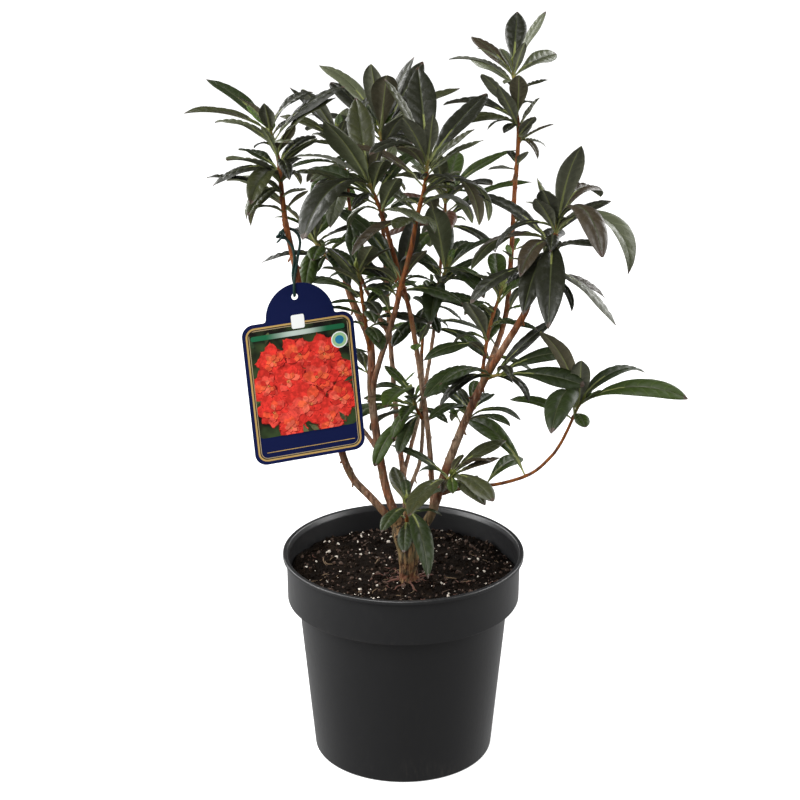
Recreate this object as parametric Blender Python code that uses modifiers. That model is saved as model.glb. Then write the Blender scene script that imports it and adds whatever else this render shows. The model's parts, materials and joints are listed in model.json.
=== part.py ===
"""A potted azalea: nursery pot, compost, forked trunk, boughs, leafy sprays and a hang tag.

Millimetres are used for every named size and turned into metres by MM. The origin is the
centre of the pot's underside, +Z is up and -Y is the plant's front.
"""

import math
import random
from collections import namedtuple

import bmesh
import bpy
from mathutils import Matrix, Vector
from mathutils.bvhtree import BVHTree

MM = 0.001
GAP = 0.3  # clearance between touching pieces

# Pot: a thin moulded shell with a wide collar above a nesting step.
POT_HEIGHT = 168
POT_RIM_RADIUS = 95
POT_RIM_DEPTH = 3
POT_RIM_WIDTH = 3.4
POT_RIM_ROUND = 0.7
POT_COLLAR_RADIUS = 92
POT_DRAFT = 0.4  # the collar is this much narrower at its foot
POT_STEP_HEIGHT = 130
POT_BODY_TOP_RADIUS = 83.2
POT_FOOT_RADIUS = 71.1
POT_FOOT_ROUND = 2
POT_WALL = 1.8
POT_STEPS = 40
DRAIN_HOLES = 6
DRAIN_RADIUS = 6
DRAIN_RING_RADIUS = 55
DRAIN_SIDES = 10

# Compost, a little shrunk away from the collar.
SOIL_LEVEL = 153
SOIL_FLAT_RADIUS = 66
SOIL_SAG = 2
SOIL_EDGE = 4
SOIL_SHRINK = 2.5

# Trunk: centre line from the flat cut at soil level to the head where the boughs fork.
TRUNK_ROUTE = ((4, -22, SOIL_LEVEL + GAP), (4, -22, 165), (3.5, -22, 178), (2, -20, 190), (1, -19, 202))
TRUNK_RADII = ((0, 9.2), (0.08, 7.6), (0.22, 6.9), (0.5, 7.8), (0.78, 11), (0.92, 9.5), (1, 5))

# Boughs: base radius, tip radius and centre line. Each starts inside the limb that bears it.
BOUGHS = {
    "bough_left": (3.4, 2.6, ((-1, -18, 194), (-14, -18, 231), (-24, -14, 300), (-25, -10, 342),
                              (-39, 12, 370), (-46, 25, 390))),
    "bough_right": (3.7, 2.4, ((6, -20, 188), (21, -22, 207), (35, -34, 258), (57, -46, 320),
                               (85, -60, 377), (90, -62, 389))),
    "bough_back": (2.4, 1.5, ((3, -14, 194), (0, 8, 228), (-5, 30, 264), (-12, 58, 349), (-17, 76, 430))),
    "bough_far_left": (3.1, 2.2, ((-3, -19, 194), (-24, -18, 219), (-40, -17, 238), (-50, -18, 268),
                                  (-61, -24, 314), (-73, -31, 376), (-82, -28, 420), (-87, -25, 444))),
    "bough_centre": (2.2, 1.6, ((23, -24, 212), (22, -20, 230), (20, -22, 262), (16, -26, 299),
                                (6, -32, 368), (-3, -38, 405), (-13, -45, 444))),
    "bough_top_centre": (2.2, 1.8, ((-24, -14, 303), (-20, -22, 325), (-7, -38, 374), (0, -48, 406),
                                    (6, -52, 430))),
    "bough_top_right": (2.3, 1.7, ((54, -44, 311), (60, -32, 322), (76, 4, 353), (81, 22, 383),
                                   (85, 44, 452), (86, 47, 459))),
    "bough_low_right": (1.7, 1.4, ((30, -27, 228), (43, -29, 232), (57, -32, 236))),
    "bough_middle": (1.7, 1.3, ((5, -17, 196), (4, -12, 221), (13, -6, 247), (15, -2, 285), (14, 20, 327))),
    "bough_back_left": (1.5, 1.2, ((-9, 48, 325), (-25, 60, 355), (-37, 66, 385), (-42, 70, 430))),
    "bough_rear": (1.7, 1.3, ((0, 8, 228), (14, 50, 270), (24, 80, 320), (31, 104, 385))),
    "bough_rear_left": (1.8, 1.3, ((-19, -16, 258), (-32, 20, 262), (-50, 60, 266), (-66, 88, 272))),
}
BOUGH_SPACING = 14
THIN_BOUGH = 2.5  # boughs under this radius are six-sided, the rest eight-sided

# Sprays: what bears them and where, the stem's radii, number and length range of the leaves
# that follow the spiral, and the stem's centre line, on from the bearer's tip or from its side.
TIP, SIDE = "tip", "side"
Spray = namedtuple("Spray", "bearer place radii count lengths route")
SPRAYS = {
    "foliage_top_centre": Spray("bough_top_centre", TIP, (1.8, 1.3), 6, (45, 75), (
        (10, -54, 454), (15, -56, 476), (17, -58, 496))),
    "foliage_top_right": Spray("bough_top_right", TIP, (1.7, 1.2), 5, (22, 38), (
        (87, 50, 478), (87, 52, 497), (84, 54, 515), (83, 56, 538))),
    "foliage_right": Spray("bough_right", TIP, (2.2, 1.4), 7, (50, 80), (
        (99, -65, 418), (107, -66, 439), (110, -68, 453))),
    "foliage_far_left": Spray("bough_far_left", TIP, (2.1, 1.3), 9, (45, 70), (
        (-89, -22, 465), (-91, -18, 486), (-97, -14, 507))),
    "foliage_back": Spray("bough_back", TIP, (1.5, 1.2), 6, (50, 80), (
        (-15, 82, 462), (-18, 86, 487))),
    "foliage_centre": Spray("bough_centre", TIP, (1.6, 1.3), 5, (45, 75), (
        (-18, -47, 460), (-25, -50, 477))),
    "foliage_back_left": Spray("bough_back_left", TIP, (1.2, 1.1), 8, (45, 75), (
        (-44, 70, 450), (-48, 70, 469), (-50, 70, 484))),
    "foliage_low_right": Spray("bough_low_right", TIP, (1.4, 1.1), 0, (45, 70), (
        (73, -36, 239), (95, -42, 249), (109, -44, 262), (119, -44, 277), (131, -42, 305))),
    "foliage_inner_right": Spray("bough_right", SIDE, (1.5, 1.1), 7, (40, 60), (
        (58, -46, 322), (60, -34, 338), (65, -20, 361), (73, -8, 383))),
    "foliage_right_side": Spray("bough_right", SIDE, (1.4, 1.2), 1, (45, 60), (
        (62, -49, 329), (70, -54, 333))),
    "foliage_left": Spray("bough_left", TIP, (1.6, 1.2), 9, (45, 70), (
        (-60, 32, 400), (-68, 38, 410))),
    "foliage_inner_left": Spray("bough_left", SIDE, (1.6, 1.1), 11, (35, 60), (
        (-25, -11, 335), (-29, -22, 369), (-33, -30, 405))),
    "foliage_middle": Spray("bough_middle", TIP, (1.3, 1.1), 9, (40, 70), (
        (17, 30, 353), (27, 36, 371), (33, 40, 387))),
    "foliage_inner_centre": Spray("bough_top_centre", SIDE, (1.5, 1.2), 5, (45, 70), (
        (-5, -39, 380), (-4, -24, 388), (-1, -8, 393))),
    "foliage_low_middle": Spray("bough_middle", SIDE, (1.3, 1.0), 6, (30, 50), (
        (14.6, -3, 280), (10, -7, 289), (7, -9, 300))),
    "foliage_rear": Spray("bough_rear", TIP, (1.3, 1.1), 14, (50, 80), (
        (33, 110, 405), (34, 113, 428))),
    "foliage_rear_left": Spray("bough_rear_left", TIP, (1.3, 1.1), 12, (45, 65), (
        (-74, 95, 278), (-80, 100, 290))),
    "foliage_foot_right": Spray("bough_right", SIDE, (1.5, 1.2), 4, (40, 60), (
        (29, -28, 232), (33, -40, 242), (36, -52, 252))),
    "foliage_foot": Spray("trunk", SIDE, (1.5, 1.2), 3, (35, 50), (
        (2, -22, 196), (3, -33, 210), (3, -38, 222))),
    "foliage_right_low": Spray("bough_right", SIDE, (1.4, 1.1), 2, (40, 55), (
        (46, -40, 288), (50, -27, 290), (52, -21, 293))),
}

# Leading leaves, which give a spray its outline: how far along the stem, bearing, rise, droop,
# length, and a roll where the blade is twisted. Angles are in degrees.
LEADS = {
    "foliage_top_centre": ((1, 95, 40, 15, 95), (1, 160, 70, 20, 65), (0.95, 60, 30, 15, 95),
        (0.9, 10, 50, 20, 45), (0.95, 235, 55, 75, 80), (0.9, 235, 50, 40, 60), (0.65, 20, 50, 150, 78),
        (0.5, 30, 45, 130, 62), (0.8, 290, 35, 40, 60), (0.35, 250, 35, 50, 50)),
    "foliage_top_right": ((1, 85, 40, 15, 65), (1, 15, 70, 20, 50), (0.95, 55, 20, 20, 60, 40),
        (0.95, 120, 35, 30, 65), (0.9, 175, 50, 60, 55), (0.9, 125, 30, 40, 60), (0.6, 270, 55, 10, 50),
        (0.5, 240, 55, 10, 50), (0.55, 225, 50, 25, 60), (0.6, 135, 20, 40, 80), (0.55, 220, 40, 60, 60),
        (0.45, 290, 45, 20, 40), (0.55, 10, 60, 10, 28, 0), (0.1, 180, 10, 20, 22, 0)),
    "foliage_right": ((1, 280, 70, 35, 85), (1, 60, 50, 95, 80), (0.85, 325, 70, 175, 95),
        (0.95, 185, 35, 110, 55), (0.8, 135, 15, 80, 95), (0.8, 265, 10, 60, 105),
        (0.7, 255, 15, 60, 90), (0.55, 340, -10, 50, 70), (0.95, 245, 50, 20, 55)),
    "foliage_far_left": ((1, 130, 30, 25, 85), (1, 185, 35, 45, 65), (1, 15, 75, 70, 45),
        (0.8, 10, 65, 50, 60), (0.45, 255, 45, 90, 75), (0.25, 180, 45, 55, 60), (0.45, 240, 45, 40, 75),
        (0.6, 125, 20, 30, 60)),
    "foliage_back": ((1, 125, 45, 45, 95), (0.95, 260, 60, 10, 75), (0.95, 275, 50, 15, 85),
        (0.95, 20, 75, 20, 65), (0.9, 60, 45, 20, 85), (0.9, 120, 35, 25, 85), (0.8, 295, 45, 60, 60)),
    "foliage_centre": ((0.95, 245, 50, 20, 95), (0.95, 100, 40, 15, 90), (0.95, 180, 55, 70, 65),
        (0.85, 240, 40, 95, 110), (0.6, 140, 35, 50, 75), (0.4, 285, 45, 15, 60)),
    "foliage_back_left": ((0.95, 170, 55, 20, 55), (0.95, 245, 50, 20, 80), (0.9, 120, 30, 60, 60),
        (0.85, 245, 30, 30, 60)),
    "foliage_low_right": ((1, 350, 40, 70, 85, 40), (1, 40, 50, 80, 75), (1, 270, 65, 15, 55),
        (1, 235, 75, 40, 90), (0.95, 255, 70, 120, 100), (0.95, 280, 35, 60, 35), (1, 95, 30, 20, 60),
        (0.1, 55, 30, 50, 55, 30), (0.4, 125, 50, 60, 80, -30), (0.95, 150, 25, 40, 55)),
    "foliage_inner_right": ((1, 175, 45, 50, 50), (0.95, 90, 25, 15, 60), (0.8, 175, 30, 35, 50),
        (0.5, 250, 50, 15, 65), (0.45, 70, 15, 20, 60), (0.2, 185, 25, 80, 50), (0.2, 235, 30, 60, 80)),
    "foliage_right_side": ((1, 0, 35, 45, 55, 50), (0.6, 350, 5, 40, 68, 55), (0.8, 20, 48, 15, 60)),
    "foliage_left": ((1, 80, 15, 20, 65), (0.95, 5, 40, 60, 45), (0.9, 260, 10, 60, 60),
        (0.65, 295, 15, 60, 50)),
    "foliage_inner_left": ((1, 285, 40, 10, 55), (0.9, 115, 20, 40, 60)),
    "foliage_middle": ((0.95, 255, 70, 30, 80), (0.95, 305, 30, 60, 75), (0.95, 65, 45, 80, 70),
        (0.8, 265, 35, 90, 70), (0.9, 115, 20, 20, 65)),
    "foliage_inner_centre": ((0.75, 125, 45, 60, 100), (0.9, 70, 15, 20, 85), (0.8, 105, 25, 20, 80),
        (0.7, 240, 50, 40, 55)),
    "foliage_low_middle": ((0.9, 245, 40, 50, 85), (0.6, 255, 25, 40, 45)),
    "foliage_foot_right": ((0.65, 245, 25, 50, 80), (0.8, 295, 35, 60, 70), (1, 5, 30, 20, 40)),
    "foliage_foot": ((0.85, 245, 30, 60, 50), (0.8, 285, 20, 80, 80), (1, 115, 20, 15, 55)),
    "foliage_right_low": ((0.9, 245, 45, 70, 60), (0.9, 65, 15, 30, 45)),
}
STEM_SPACING = 12
LOWEST_ROOT = 4  # no leaf starts nearer than this to the stem's foot
BUD_LENGTH = 9
BUD_RADIUS = 2.3
LEAF_STAGGER = 0.7  # each next leaf starts this much lower on the stem

# Leaves: oblanceolate blades with a keel under the midrib, widest past the middle.
GOLDEN_ANGLE = 137.5
LEAF_STATIONS = (0, 0.2, 0.5, 0.8, 1)
LEAF_WIDTH_BASE = 6
LEAF_WIDTH_SHARE = 0.17
LEAF_WIDEST_SKEW = 1.15
LEAF_FULLNESS = 0.85
LEAF_THICKNESS = 1.5
LEAF_TOP_SHARE = 0.3  # of the thickness above the midrib
PETIOLE_WIDTH = 1.8
LEAF_ROLL = 14
LEAF_CLEARANCE = 0.35
PETIOLE_SHARE = 0.1  # a leaf's foot may meet what bears its spray
OWN_SHARE = 0.3  # a leaf's inner share may cross its own spray
REACH_MARGIN = 10  # leaves further apart than their reach and this aren't compared
SLIVER = 0.01
TURNS = ((0, 0), (12, 0), (-12, 0), (0, 10), (0, -10), (24, 5), (-24, 5), (20, -12), (-20, -12))
SEED = 43

# Hang tag on a soft tie: card outline in the card's plane, measured from the hole's centre.
TAG_WIDTH = 85
TAG_TOP = -16.5
TAG_BOTTOM = -125
TAG_DOME_HALF_WIDTH = 26
TAG_DOME_TOP = 10
TAG_DOME_SHIFT = 2.5  # the dome stands this far to the right of the hole
TAG_CORNER = 9
TAG_THICKNESS = 0.8
TAG_VIEW = 60  # no leaf hangs this near in front of the card
TAG_HOLE_RADIUS = 2.5
TAG_HOLE_AT = (-80, -38, 388.3)
TAG_SWING = 4
TAG_TURN = 16  # its right side is further back
TAG_LEAN = 4
TIE_RADIUS = 0.8
TIE_ROUTE = ((-80, -40.2, 389.5), (-80.2, -39.8, 396), (-79.6, -37.6, 404), (-77.3, -33.4, 418),
             (-75.8, -29, 428), (-79.4, -23.6, 434), (-85.9, -22.5, 436), (-89.3, -25.6, 433.5),
             (-86.4, -29.9, 430.5), (-81.5, -33.6, 425), (-79.8, -35.3, 417), (-81.2, -35.8, 405),
             (-80.4, -35.6, 397), (-80, -35.9, 389.7))


def clear_scene():
    for obj in list(bpy.data.objects):
        bpy.data.objects.remove(obj)


def collection(name):
    made = bpy.data.collections.new(name)
    bpy.context.scene.collection.children.link(made)
    return made


def material(name, colour, roughness, metallic=0.0):
    made = bpy.data.materials.new(name)
    made.use_nodes = True
    shader = made.node_tree.nodes["Principled BSDF"]
    shader.inputs["Base Color"].default_value = (*colour, 1)
    shader.inputs["Roughness"].default_value = roughness
    shader.inputs["Metallic"].default_value = metallic
    return made


def mesh_object(name, mesh, home, finish):
    made = bpy.data.objects.new(name, mesh)
    home.objects.link(made)
    made.data.materials.append(finish)
    return made


def metres(point):
    return Vector(point) * MM


def smooth_line(points, spacing):
    """Points spaced evenly in count on a Catmull-Rom line through the given ones, in metres."""
    knots = [metres(p) for p in points]
    knots = [2 * knots[0] - knots[1], *knots, 2 * knots[-1] - knots[-2]]
    line = []
    for a, b, c, d in zip(knots, knots[1:], knots[2:], knots[3:]):
        parts = max(1, round((c - b).length / (spacing * MM)))
        for i in range(parts):
            t = i / parts
            line.append(0.5 * (2 * b + (c - a) * t + (2 * a - 5 * b + 4 * c - d) * t ** 2
                               + (3 * b - a - 3 * c + d) * t ** 3))
    line.append(knots[-2])
    return line


def length_of(line):
    return sum((b - a).length for a, b in zip(line, line[1:]))


def shares(line):
    """How far along the line each of its points lies, from 0 to 1."""
    reached = [0.0]
    for a, b in zip(line, line[1:]):
        reached.append(reached[-1] + (b - a).length)
    return [r / reached[-1] for r in reached]


def between(share, stops):
    """The value at this share of a list of (share, value) stops."""
    for (a, first), (b, second) in zip(stops, stops[1:]):
        if share <= b:
            return first + (second - first) * (share - a) / (b - a)
    return stops[-1][1]


def point_on(line, share):
    """The point this share along the line."""
    return between(share, list(zip(shares(line), line)))


def tapered_tube(line, radii, sides_setting, extra=0.0):
    """A closed mesh along the line, from a bevelled poly curve with filled caps."""
    curve = bpy.data.curves.new("limb", "CURVE")
    curve.dimensions = "3D"
    curve.bevel_depth = MM
    curve.bevel_resolution = sides_setting
    curve.use_fill_caps = True
    spline = curve.splines.new("POLY")
    spline.points.add(len(line) - 1)
    for knot, point, share in zip(spline.points, line, shares(line)):
        knot.co = (*point, 1)
        knot.radius = between(share, radii) + extra
    return curve_mesh(curve)


def curve_mesh(curve):
    """The curve as a welded mesh, with the curve itself removed."""
    helper = bpy.data.objects.new("helper", curve)
    bpy.context.scene.collection.objects.link(helper)
    bpy.context.view_layer.update()
    mesh = bpy.data.meshes.new_from_object(helper.evaluated_get(bpy.context.evaluated_depsgraph_get()))
    bpy.data.objects.remove(helper)
    bpy.data.curves.remove(curve)
    work = bmesh.new()
    work.from_mesh(mesh)
    bmesh.ops.remove_doubles(work, verts=work.verts, dist=1e-6)
    bmesh.ops.recalc_face_normals(work, faces=work.faces)
    work.to_mesh(mesh)
    work.free()
    return mesh


def bvh_of(mesh):
    return BVHTree.FromPolygons([v.co for v in mesh.vertices], [p.vertices for p in mesh.polygons])


def cut(obj, cutter):
    boolean = obj.modifiers.new(f"clear_of_{cutter.name}", "BOOLEAN")
    boolean.operation = "DIFFERENCE"
    boolean.object = cutter


def as_cutter(obj):
    obj.hide_render = True
    obj.display_type = "WIRE"
    return obj


# ---------------------------------------------------------------- pot and compost

def turned(name, profile, home, finish):
    """A solid turned round Z from (radius, height) points that run down its outer side."""
    mesh = bpy.data.meshes.new(name)
    mesh.from_pydata([(r * MM, 0, z * MM) for r, z in profile],
                     [(i, i + 1) for i in range(len(profile) - 1)], [])
    made = mesh_object(name, mesh, home, finish)
    screw = made.modifiers.new("turn", "SCREW")
    screw.steps = screw.render_steps = POT_STEPS
    screw.use_merge_vertices = True
    screw.merge_threshold = 0.00001
    screw.use_smooth_shade = False
    return made


def make_pot(parts, cutters, finish):
    collar_foot = POT_COLLAR_RADIUS - POT_DRAFT
    rim_foot = POT_HEIGHT - POT_RIM_DEPTH
    inner_foot = POT_FOOT_RADIUS - POT_WALL
    ledge = POT_STEP_HEIGHT + POT_WALL
    outer = [(POT_RIM_RADIUS - POT_RIM_ROUND, POT_HEIGHT), (POT_RIM_RADIUS, POT_HEIGHT - POT_RIM_ROUND),
             (POT_RIM_RADIUS, rim_foot), (POT_COLLAR_RADIUS, rim_foot - POT_RIM_ROUND),
             (collar_foot, POT_STEP_HEIGHT), (POT_BODY_TOP_RADIUS, POT_STEP_HEIGHT),
             (POT_FOOT_RADIUS, POT_FOOT_ROUND), (POT_FOOT_RADIUS - POT_FOOT_ROUND, 0), (0, 0)]
    inner = [(0, POT_WALL), (inner_foot - POT_FOOT_ROUND, POT_WALL), (inner_foot, POT_WALL + POT_FOOT_ROUND),
             (POT_BODY_TOP_RADIUS - POT_WALL, ledge), (collar_foot - POT_WALL, ledge),
             (POT_COLLAR_RADIUS - POT_WALL, rim_foot), (POT_RIM_RADIUS - POT_RIM_WIDTH, POT_HEIGHT)]
    profile = outer + inner
    pot = turned("pot", profile + profile[:1], parts, finish)
    for i in range(DRAIN_HOLES):
        angle = 2 * math.pi * i / DRAIN_HOLES
        centre = DRAIN_RING_RADIUS * MM * Vector((math.cos(angle), math.sin(angle), 0))
        bpy.ops.mesh.primitive_cylinder_add(vertices=DRAIN_SIDES, radius=DRAIN_RADIUS * MM,
                                            depth=4 * POT_WALL * MM, location=centre)
        hole = as_cutter(bpy.context.object)
        hole.name = f"drain_cutter_{i + 1}"
        move_to(hole, cutters)
        cut(pot, hole)
    return pot


def move_to(obj, home):
    for old in list(obj.users_collection):
        old.objects.unlink(obj)
    home.objects.link(obj)


def make_soil(parts, finish):
    """Compost that fills the pot a little clear of its wall, flat at the trunk's foot."""
    floor, ledge = POT_WALL + GAP, POT_STEP_HEIGHT + POT_WALL + GAP
    foot = POT_FOOT_RADIUS - POT_WALL - 2 * GAP
    shoulder = POT_BODY_TOP_RADIUS - POT_WALL - 2 * GAP
    top = POT_COLLAR_RADIUS - POT_DRAFT - POT_WALL - SOIL_SHRINK
    profile = [(0, SOIL_LEVEL), (SOIL_FLAT_RADIUS, SOIL_LEVEL), (top - SOIL_EDGE, SOIL_LEVEL - SOIL_SAG),
               (top, SOIL_LEVEL - SOIL_EDGE), (top, ledge), (shoulder, ledge),
               (shoulder, POT_STEP_HEIGHT), (foot, floor + POT_FOOT_ROUND + GAP),
               (foot - POT_FOOT_ROUND, floor), (0, floor)]
    return turned("soil", profile, parts, finish)


# ---------------------------------------------------------------- trunk and boughs

def limb_tables():
    """Centre line and radius stops of the trunk and each bough, in growing order."""
    lines = {"trunk": (smooth_line(TRUNK_ROUTE, 4), TRUNK_RADII, 3)}
    for name, (base, tip, route) in BOUGHS.items():
        sides = 1 if base < THIN_BOUGH else 2
        lines[name] = (smooth_line(route, BOUGH_SPACING), ((0, base), (1, tip)), sides)
    return lines


def make_limbs(parts, cutters, finish):
    """Each limb is cut clear of every earlier limb that it would touch."""
    limbs, trees, clearances = limb_tables(), {}, []
    for name, (line, radii, sides) in limbs.items():
        limb = mesh_object(name, tapered_tube(line, radii, sides), parts, finish)
        tree = bvh_of(limb.data)
        for other in clearances:
            if tree.overlap(trees[other.name]):
                cut(limb, other)
        past_tip = line[-1] + (line[-1] - line[-2]).normalized() * GAP * MM
        room = tapered_tube([*line, past_tip], radii, sides, GAP)
        clearance = as_cutter(mesh_object(f"clearance_of_{name}", room, cutters, finish))
        trees[clearance.name] = bvh_of(clearance.data)
        clearances.append(clearance)
    return limbs, {c.name.replace("clearance_of_", ""): c for c in clearances}, trees


# ---------------------------------------------------------------- leaves

class Leaf:
    """One blade: where it starts and how it leans, and its cross-sections."""

    def __init__(self, base, bearing, rise, droop, length, roll):
        self.base, self.bearing, self.rise = base, bearing, rise
        self.droop, self.length, self.roll = droop, length, roll
        self.width = LEAF_WIDTH_BASE + LEAF_WIDTH_SHARE * length

    def swung(self, by, tilt):
        return Leaf(self.base, self.bearing + by, self.rise + tilt, self.droop, self.length, self.roll)

    def midrib(self, share):
        """The midrib's point and direction at this share of its length, on an arc that droops."""
        rise, droop = math.radians(self.rise), math.radians(max(self.droop, 0.1))
        out = (math.sin(rise) - math.sin(rise - droop * share)) / droop
        up = (math.cos(rise - droop * share) - math.cos(rise)) / droop
        slope = rise - droop * share
        heading = Vector((math.cos(math.radians(self.bearing)), math.sin(math.radians(self.bearing)), 0))
        along = heading * math.cos(slope) + Vector((0, 0, math.sin(slope)))
        return self.base + (heading * out + Vector((0, 0, up))) * self.length * MM, along

    def half_width(self, share):
        blade = self.width * math.sin(math.pi * share ** LEAF_WIDEST_SKEW) ** LEAF_FULLNESS
        return max(blade, PETIOLE_WIDTH * (1 - share)) * MM / 2

    def section(self, share, grow=0.0):
        """Left edge, right edge and keel of the blade."""
        point, along = self.midrib(share)
        side = Vector((0, 0, 1)).cross(along)
        side = side.normalized() if side.length > 1e-6 else Vector((1, 0, 0))
        side = Matrix.Rotation(math.radians(self.roll * share), 3, along) @ side
        normal = along.cross(side)
        edge = side * (self.half_width(share) + grow)
        top = normal * (LEAF_TOP_SHARE * LEAF_THICKNESS * MM + grow)
        keel = normal * ((1 - LEAF_TOP_SHARE) * LEAF_THICKNESS * MM + grow)
        return point + edge + top, point - edge + top, point - keel

    def surface(self, first=0.0, grow=0.0):
        """Vertices and faces of the blade from the share first to its tip."""
        stations = [max(s, first) for s in LEAF_STATIONS[:-1] if s >= first or s == 0]
        points = [p for s in stations for p in self.section(s, grow)]
        tip, along = self.midrib(1)
        points.append(tip + along * grow)
        faces = [(0, 1, 2)]
        last = len(points) - 4
        for ring in range(0, last, 3):
            faces += [(ring + k, ring + 3 + k, ring + 3 + (k + 1) % 3, ring + (k + 1) % 3) for k in range(3)]
        faces += [(last + k, last + 3, last + (k + 1) % 3) for k in range(3)]
        return points, faces

    def tree(self, first=0.0, grow=0.0):
        return BVHTree.FromPolygons(*self.surface(first, grow))

    def middle(self):
        return self.midrib(0.5)[0]


def spray_line(name, limbs):
    """The stem's centre line: on from its bearer's tip, a gap away, or out of its side."""
    spray = SPRAYS[name]
    route = spray.route
    if spray.place == TIP:
        line = limbs[spray.bearer][0]
        start = line[-1] + (line[-1] - line[-2]).normalized() * GAP * MM
        route = (start / MM, *route)
    line = smooth_line(route, STEM_SPACING)
    onward = (line[-1] - line[-2]).normalized() * BUD_LENGTH * MM
    return [*line, *(line[-1] + onward * share for share in (0.15, 0.45, 0.8, 1))]


def stem_radii(name, line):
    """Stops that taper the stem and swell it into the bud at its end."""
    base, tip = SPRAYS[name].radii
    bud = [1 - part * BUD_LENGTH * MM / length_of(line) for part in (1, 0.85, 0.55, 0.2)]
    return ((0, base), (bud[0], tip), (bud[1], tip), (bud[2], BUD_RADIUS),
            (bud[3], 0.6 * BUD_RADIUS), (1, 0.2 * BUD_RADIUS))


def leaf_root(line, along, rank):
    """Where a leaf starts: this far along the stem below the bud, staggered by its rank."""
    length = length_of(line)
    reach = length - BUD_LENGTH * MM
    return point_on(line, max(along * reach - rank * LEAF_STAGGER * MM, LOWEST_ROOT * MM) / length)


def spiral_leaves(rng, count, shortest, longest):
    """Leaves down the stem in a golden-angle spiral: upright at the tip, flatter below."""
    bearing = rng.uniform(0, 360)
    for i in range(count):
        share = (i + 0.5) / count
        yield (1 - 0.75 * share, (bearing + GOLDEN_ANGLE * i) % 360,
               58 - 42 * share + rng.uniform(-10, 10), 25 + 45 * share + rng.uniform(-12, 20),
               rng.uniform(shortest, longest))


class Crown:
    """Keeps every leaf clear of limbs, stems, tag and the leaves already placed."""

    def __init__(self, limb_trees, stem_trees):
        self.limb_trees = limb_trees
        self.stem_trees = stem_trees
        self.leaves = {name: [] for name in SPRAYS}

    def clear(self, leaf, spray):
        whole, outer = leaf.tree(PETIOLE_SHARE, LEAF_CLEARANCE * MM), leaf.tree(OWN_SHARE)
        if any(whole.overlap(tree) for tree in self.limb_trees):
            return False
        for name, tree in self.stem_trees.items():
            if (outer if name == spray else whole).overlap(tree):
                return False
        for name, placed in self.leaves.items():
            for other, other_whole, other_outer in placed:
                reach = (other.length + leaf.length) / 2 + REACH_MARGIN
                if (other.middle() - leaf.middle()).length > reach * MM:
                    continue
                mine, theirs = (outer, other_outer) if name == spray else (whole, other_whole)
                if mine.overlap(theirs):
                    return False
        return True

    def place(self, spray, leaf):
        for by, tilt in TURNS:
            tried = leaf.swung(by, tilt)
            if self.clear(tried, spray):
                self.leaves[spray].append((tried, tried.tree(0, LEAF_CLEARANCE * MM / 2),
                                           tried.tree(OWN_SHARE)))
                return True
        return False


def grow_crown(limbs, limb_trees):
    """Leading leaves of every spray first, then the spiral ones that find room."""
    lines = {name: spray_line(name, limbs) for name in SPRAYS}
    stem_trees = {}
    for name, line in lines.items():
        mesh = tapered_tube(line, stem_radii(name, line), 1, LEAF_CLEARANCE)
        stem_trees[name] = bvh_of(mesh)
        bpy.data.meshes.remove(mesh)
    crown = Crown(limb_trees, stem_trees)
    rng = random.Random(SEED)
    for name, leads in LEADS.items():
        for rank, (along, *attitude) in enumerate(leads):
            if len(attitude) == 4:
                attitude.append(rng.uniform(-LEAF_ROLL, LEAF_ROLL))
            crown.place(name, Leaf(leaf_root(lines[name], along, rank), *attitude))
    for name, spray in SPRAYS.items():
        for along, *attitude in spiral_leaves(rng, spray.count, *spray.lengths):
            roll = rng.uniform(-LEAF_ROLL, LEAF_ROLL)
            crown.place(name, Leaf(leaf_root(lines[name], along, 0.5), *attitude, roll))
    return lines, crown.leaves


def keep_main_body(mesh):
    """Drops the loose scraps and sealed hollows that a union leaves, so one closed body stays."""
    work = bmesh.new()
    work.from_mesh(mesh)
    bmesh.ops.remove_doubles(work, verts=work.verts, dist=SLIVER * MM)
    bmesh.ops.dissolve_degenerate(work, edges=work.edges, dist=SLIVER * MM / 10)
    flaps = [f for f in work.faces if any(len(e.link_faces) == 1 for e in f.edges)]
    bmesh.ops.delete(work, geom=flaps, context="FACES")
    unseen, bodies = set(work.faces), []
    while unseen:
        body, front = set(), [unseen.pop()]
        while front:
            face = front.pop()
            body.add(face)
            for edge in (e for e in face.edges if len(e.link_faces) == 2):
                for other in edge.link_faces:
                    if other in unseen:
                        unseen.remove(other)
                        front.append(other)
        bodies.append(body)
    bodies.sort(key=len)
    bmesh.ops.delete(work, geom=[f for body in bodies[:-1] for f in body], context="FACES")
    work.to_mesh(mesh)
    work.free()


def make_spray(name, line, leaves, clearances, parts, finish):
    """The stem, cut clear of its bearer, with its leaves fused on by one union."""
    spray = mesh_object(name, tapered_tube(line, stem_radii(name, line), 1), parts, finish)
    cut(spray, clearances[SPRAYS[name].bearer])
    blades = collection(f"{name}_blades")
    for i, leaf in enumerate(leaves):
        points, faces = leaf.surface()
        mesh = bpy.data.meshes.new(f"{name}_leaf_{i}")
        mesh.from_pydata(points, [], faces)
        work = bmesh.new()
        work.from_mesh(mesh)
        bmesh.ops.recalc_face_normals(work, faces=work.faces)
        work.to_mesh(mesh)
        work.free()
        mesh_object(mesh.name, mesh, blades, finish)
    union = spray.modifiers.new("fuse", "BOOLEAN")
    union.operation = "UNION"
    union.operand_type = "COLLECTION"
    union.collection = blades
    union.solver = "MANIFOLD"
    bpy.context.view_layer.update()
    fused = bpy.data.meshes.new_from_object(spray.evaluated_get(bpy.context.evaluated_depsgraph_get()))
    spray.modifiers.clear()
    spray.data = fused
    keep_main_body(fused)
    for blade in list(blades.objects):
        bpy.data.objects.remove(blade)
    bpy.data.collections.remove(blades)
    return spray


# ---------------------------------------------------------------- hang tag and tie

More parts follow.
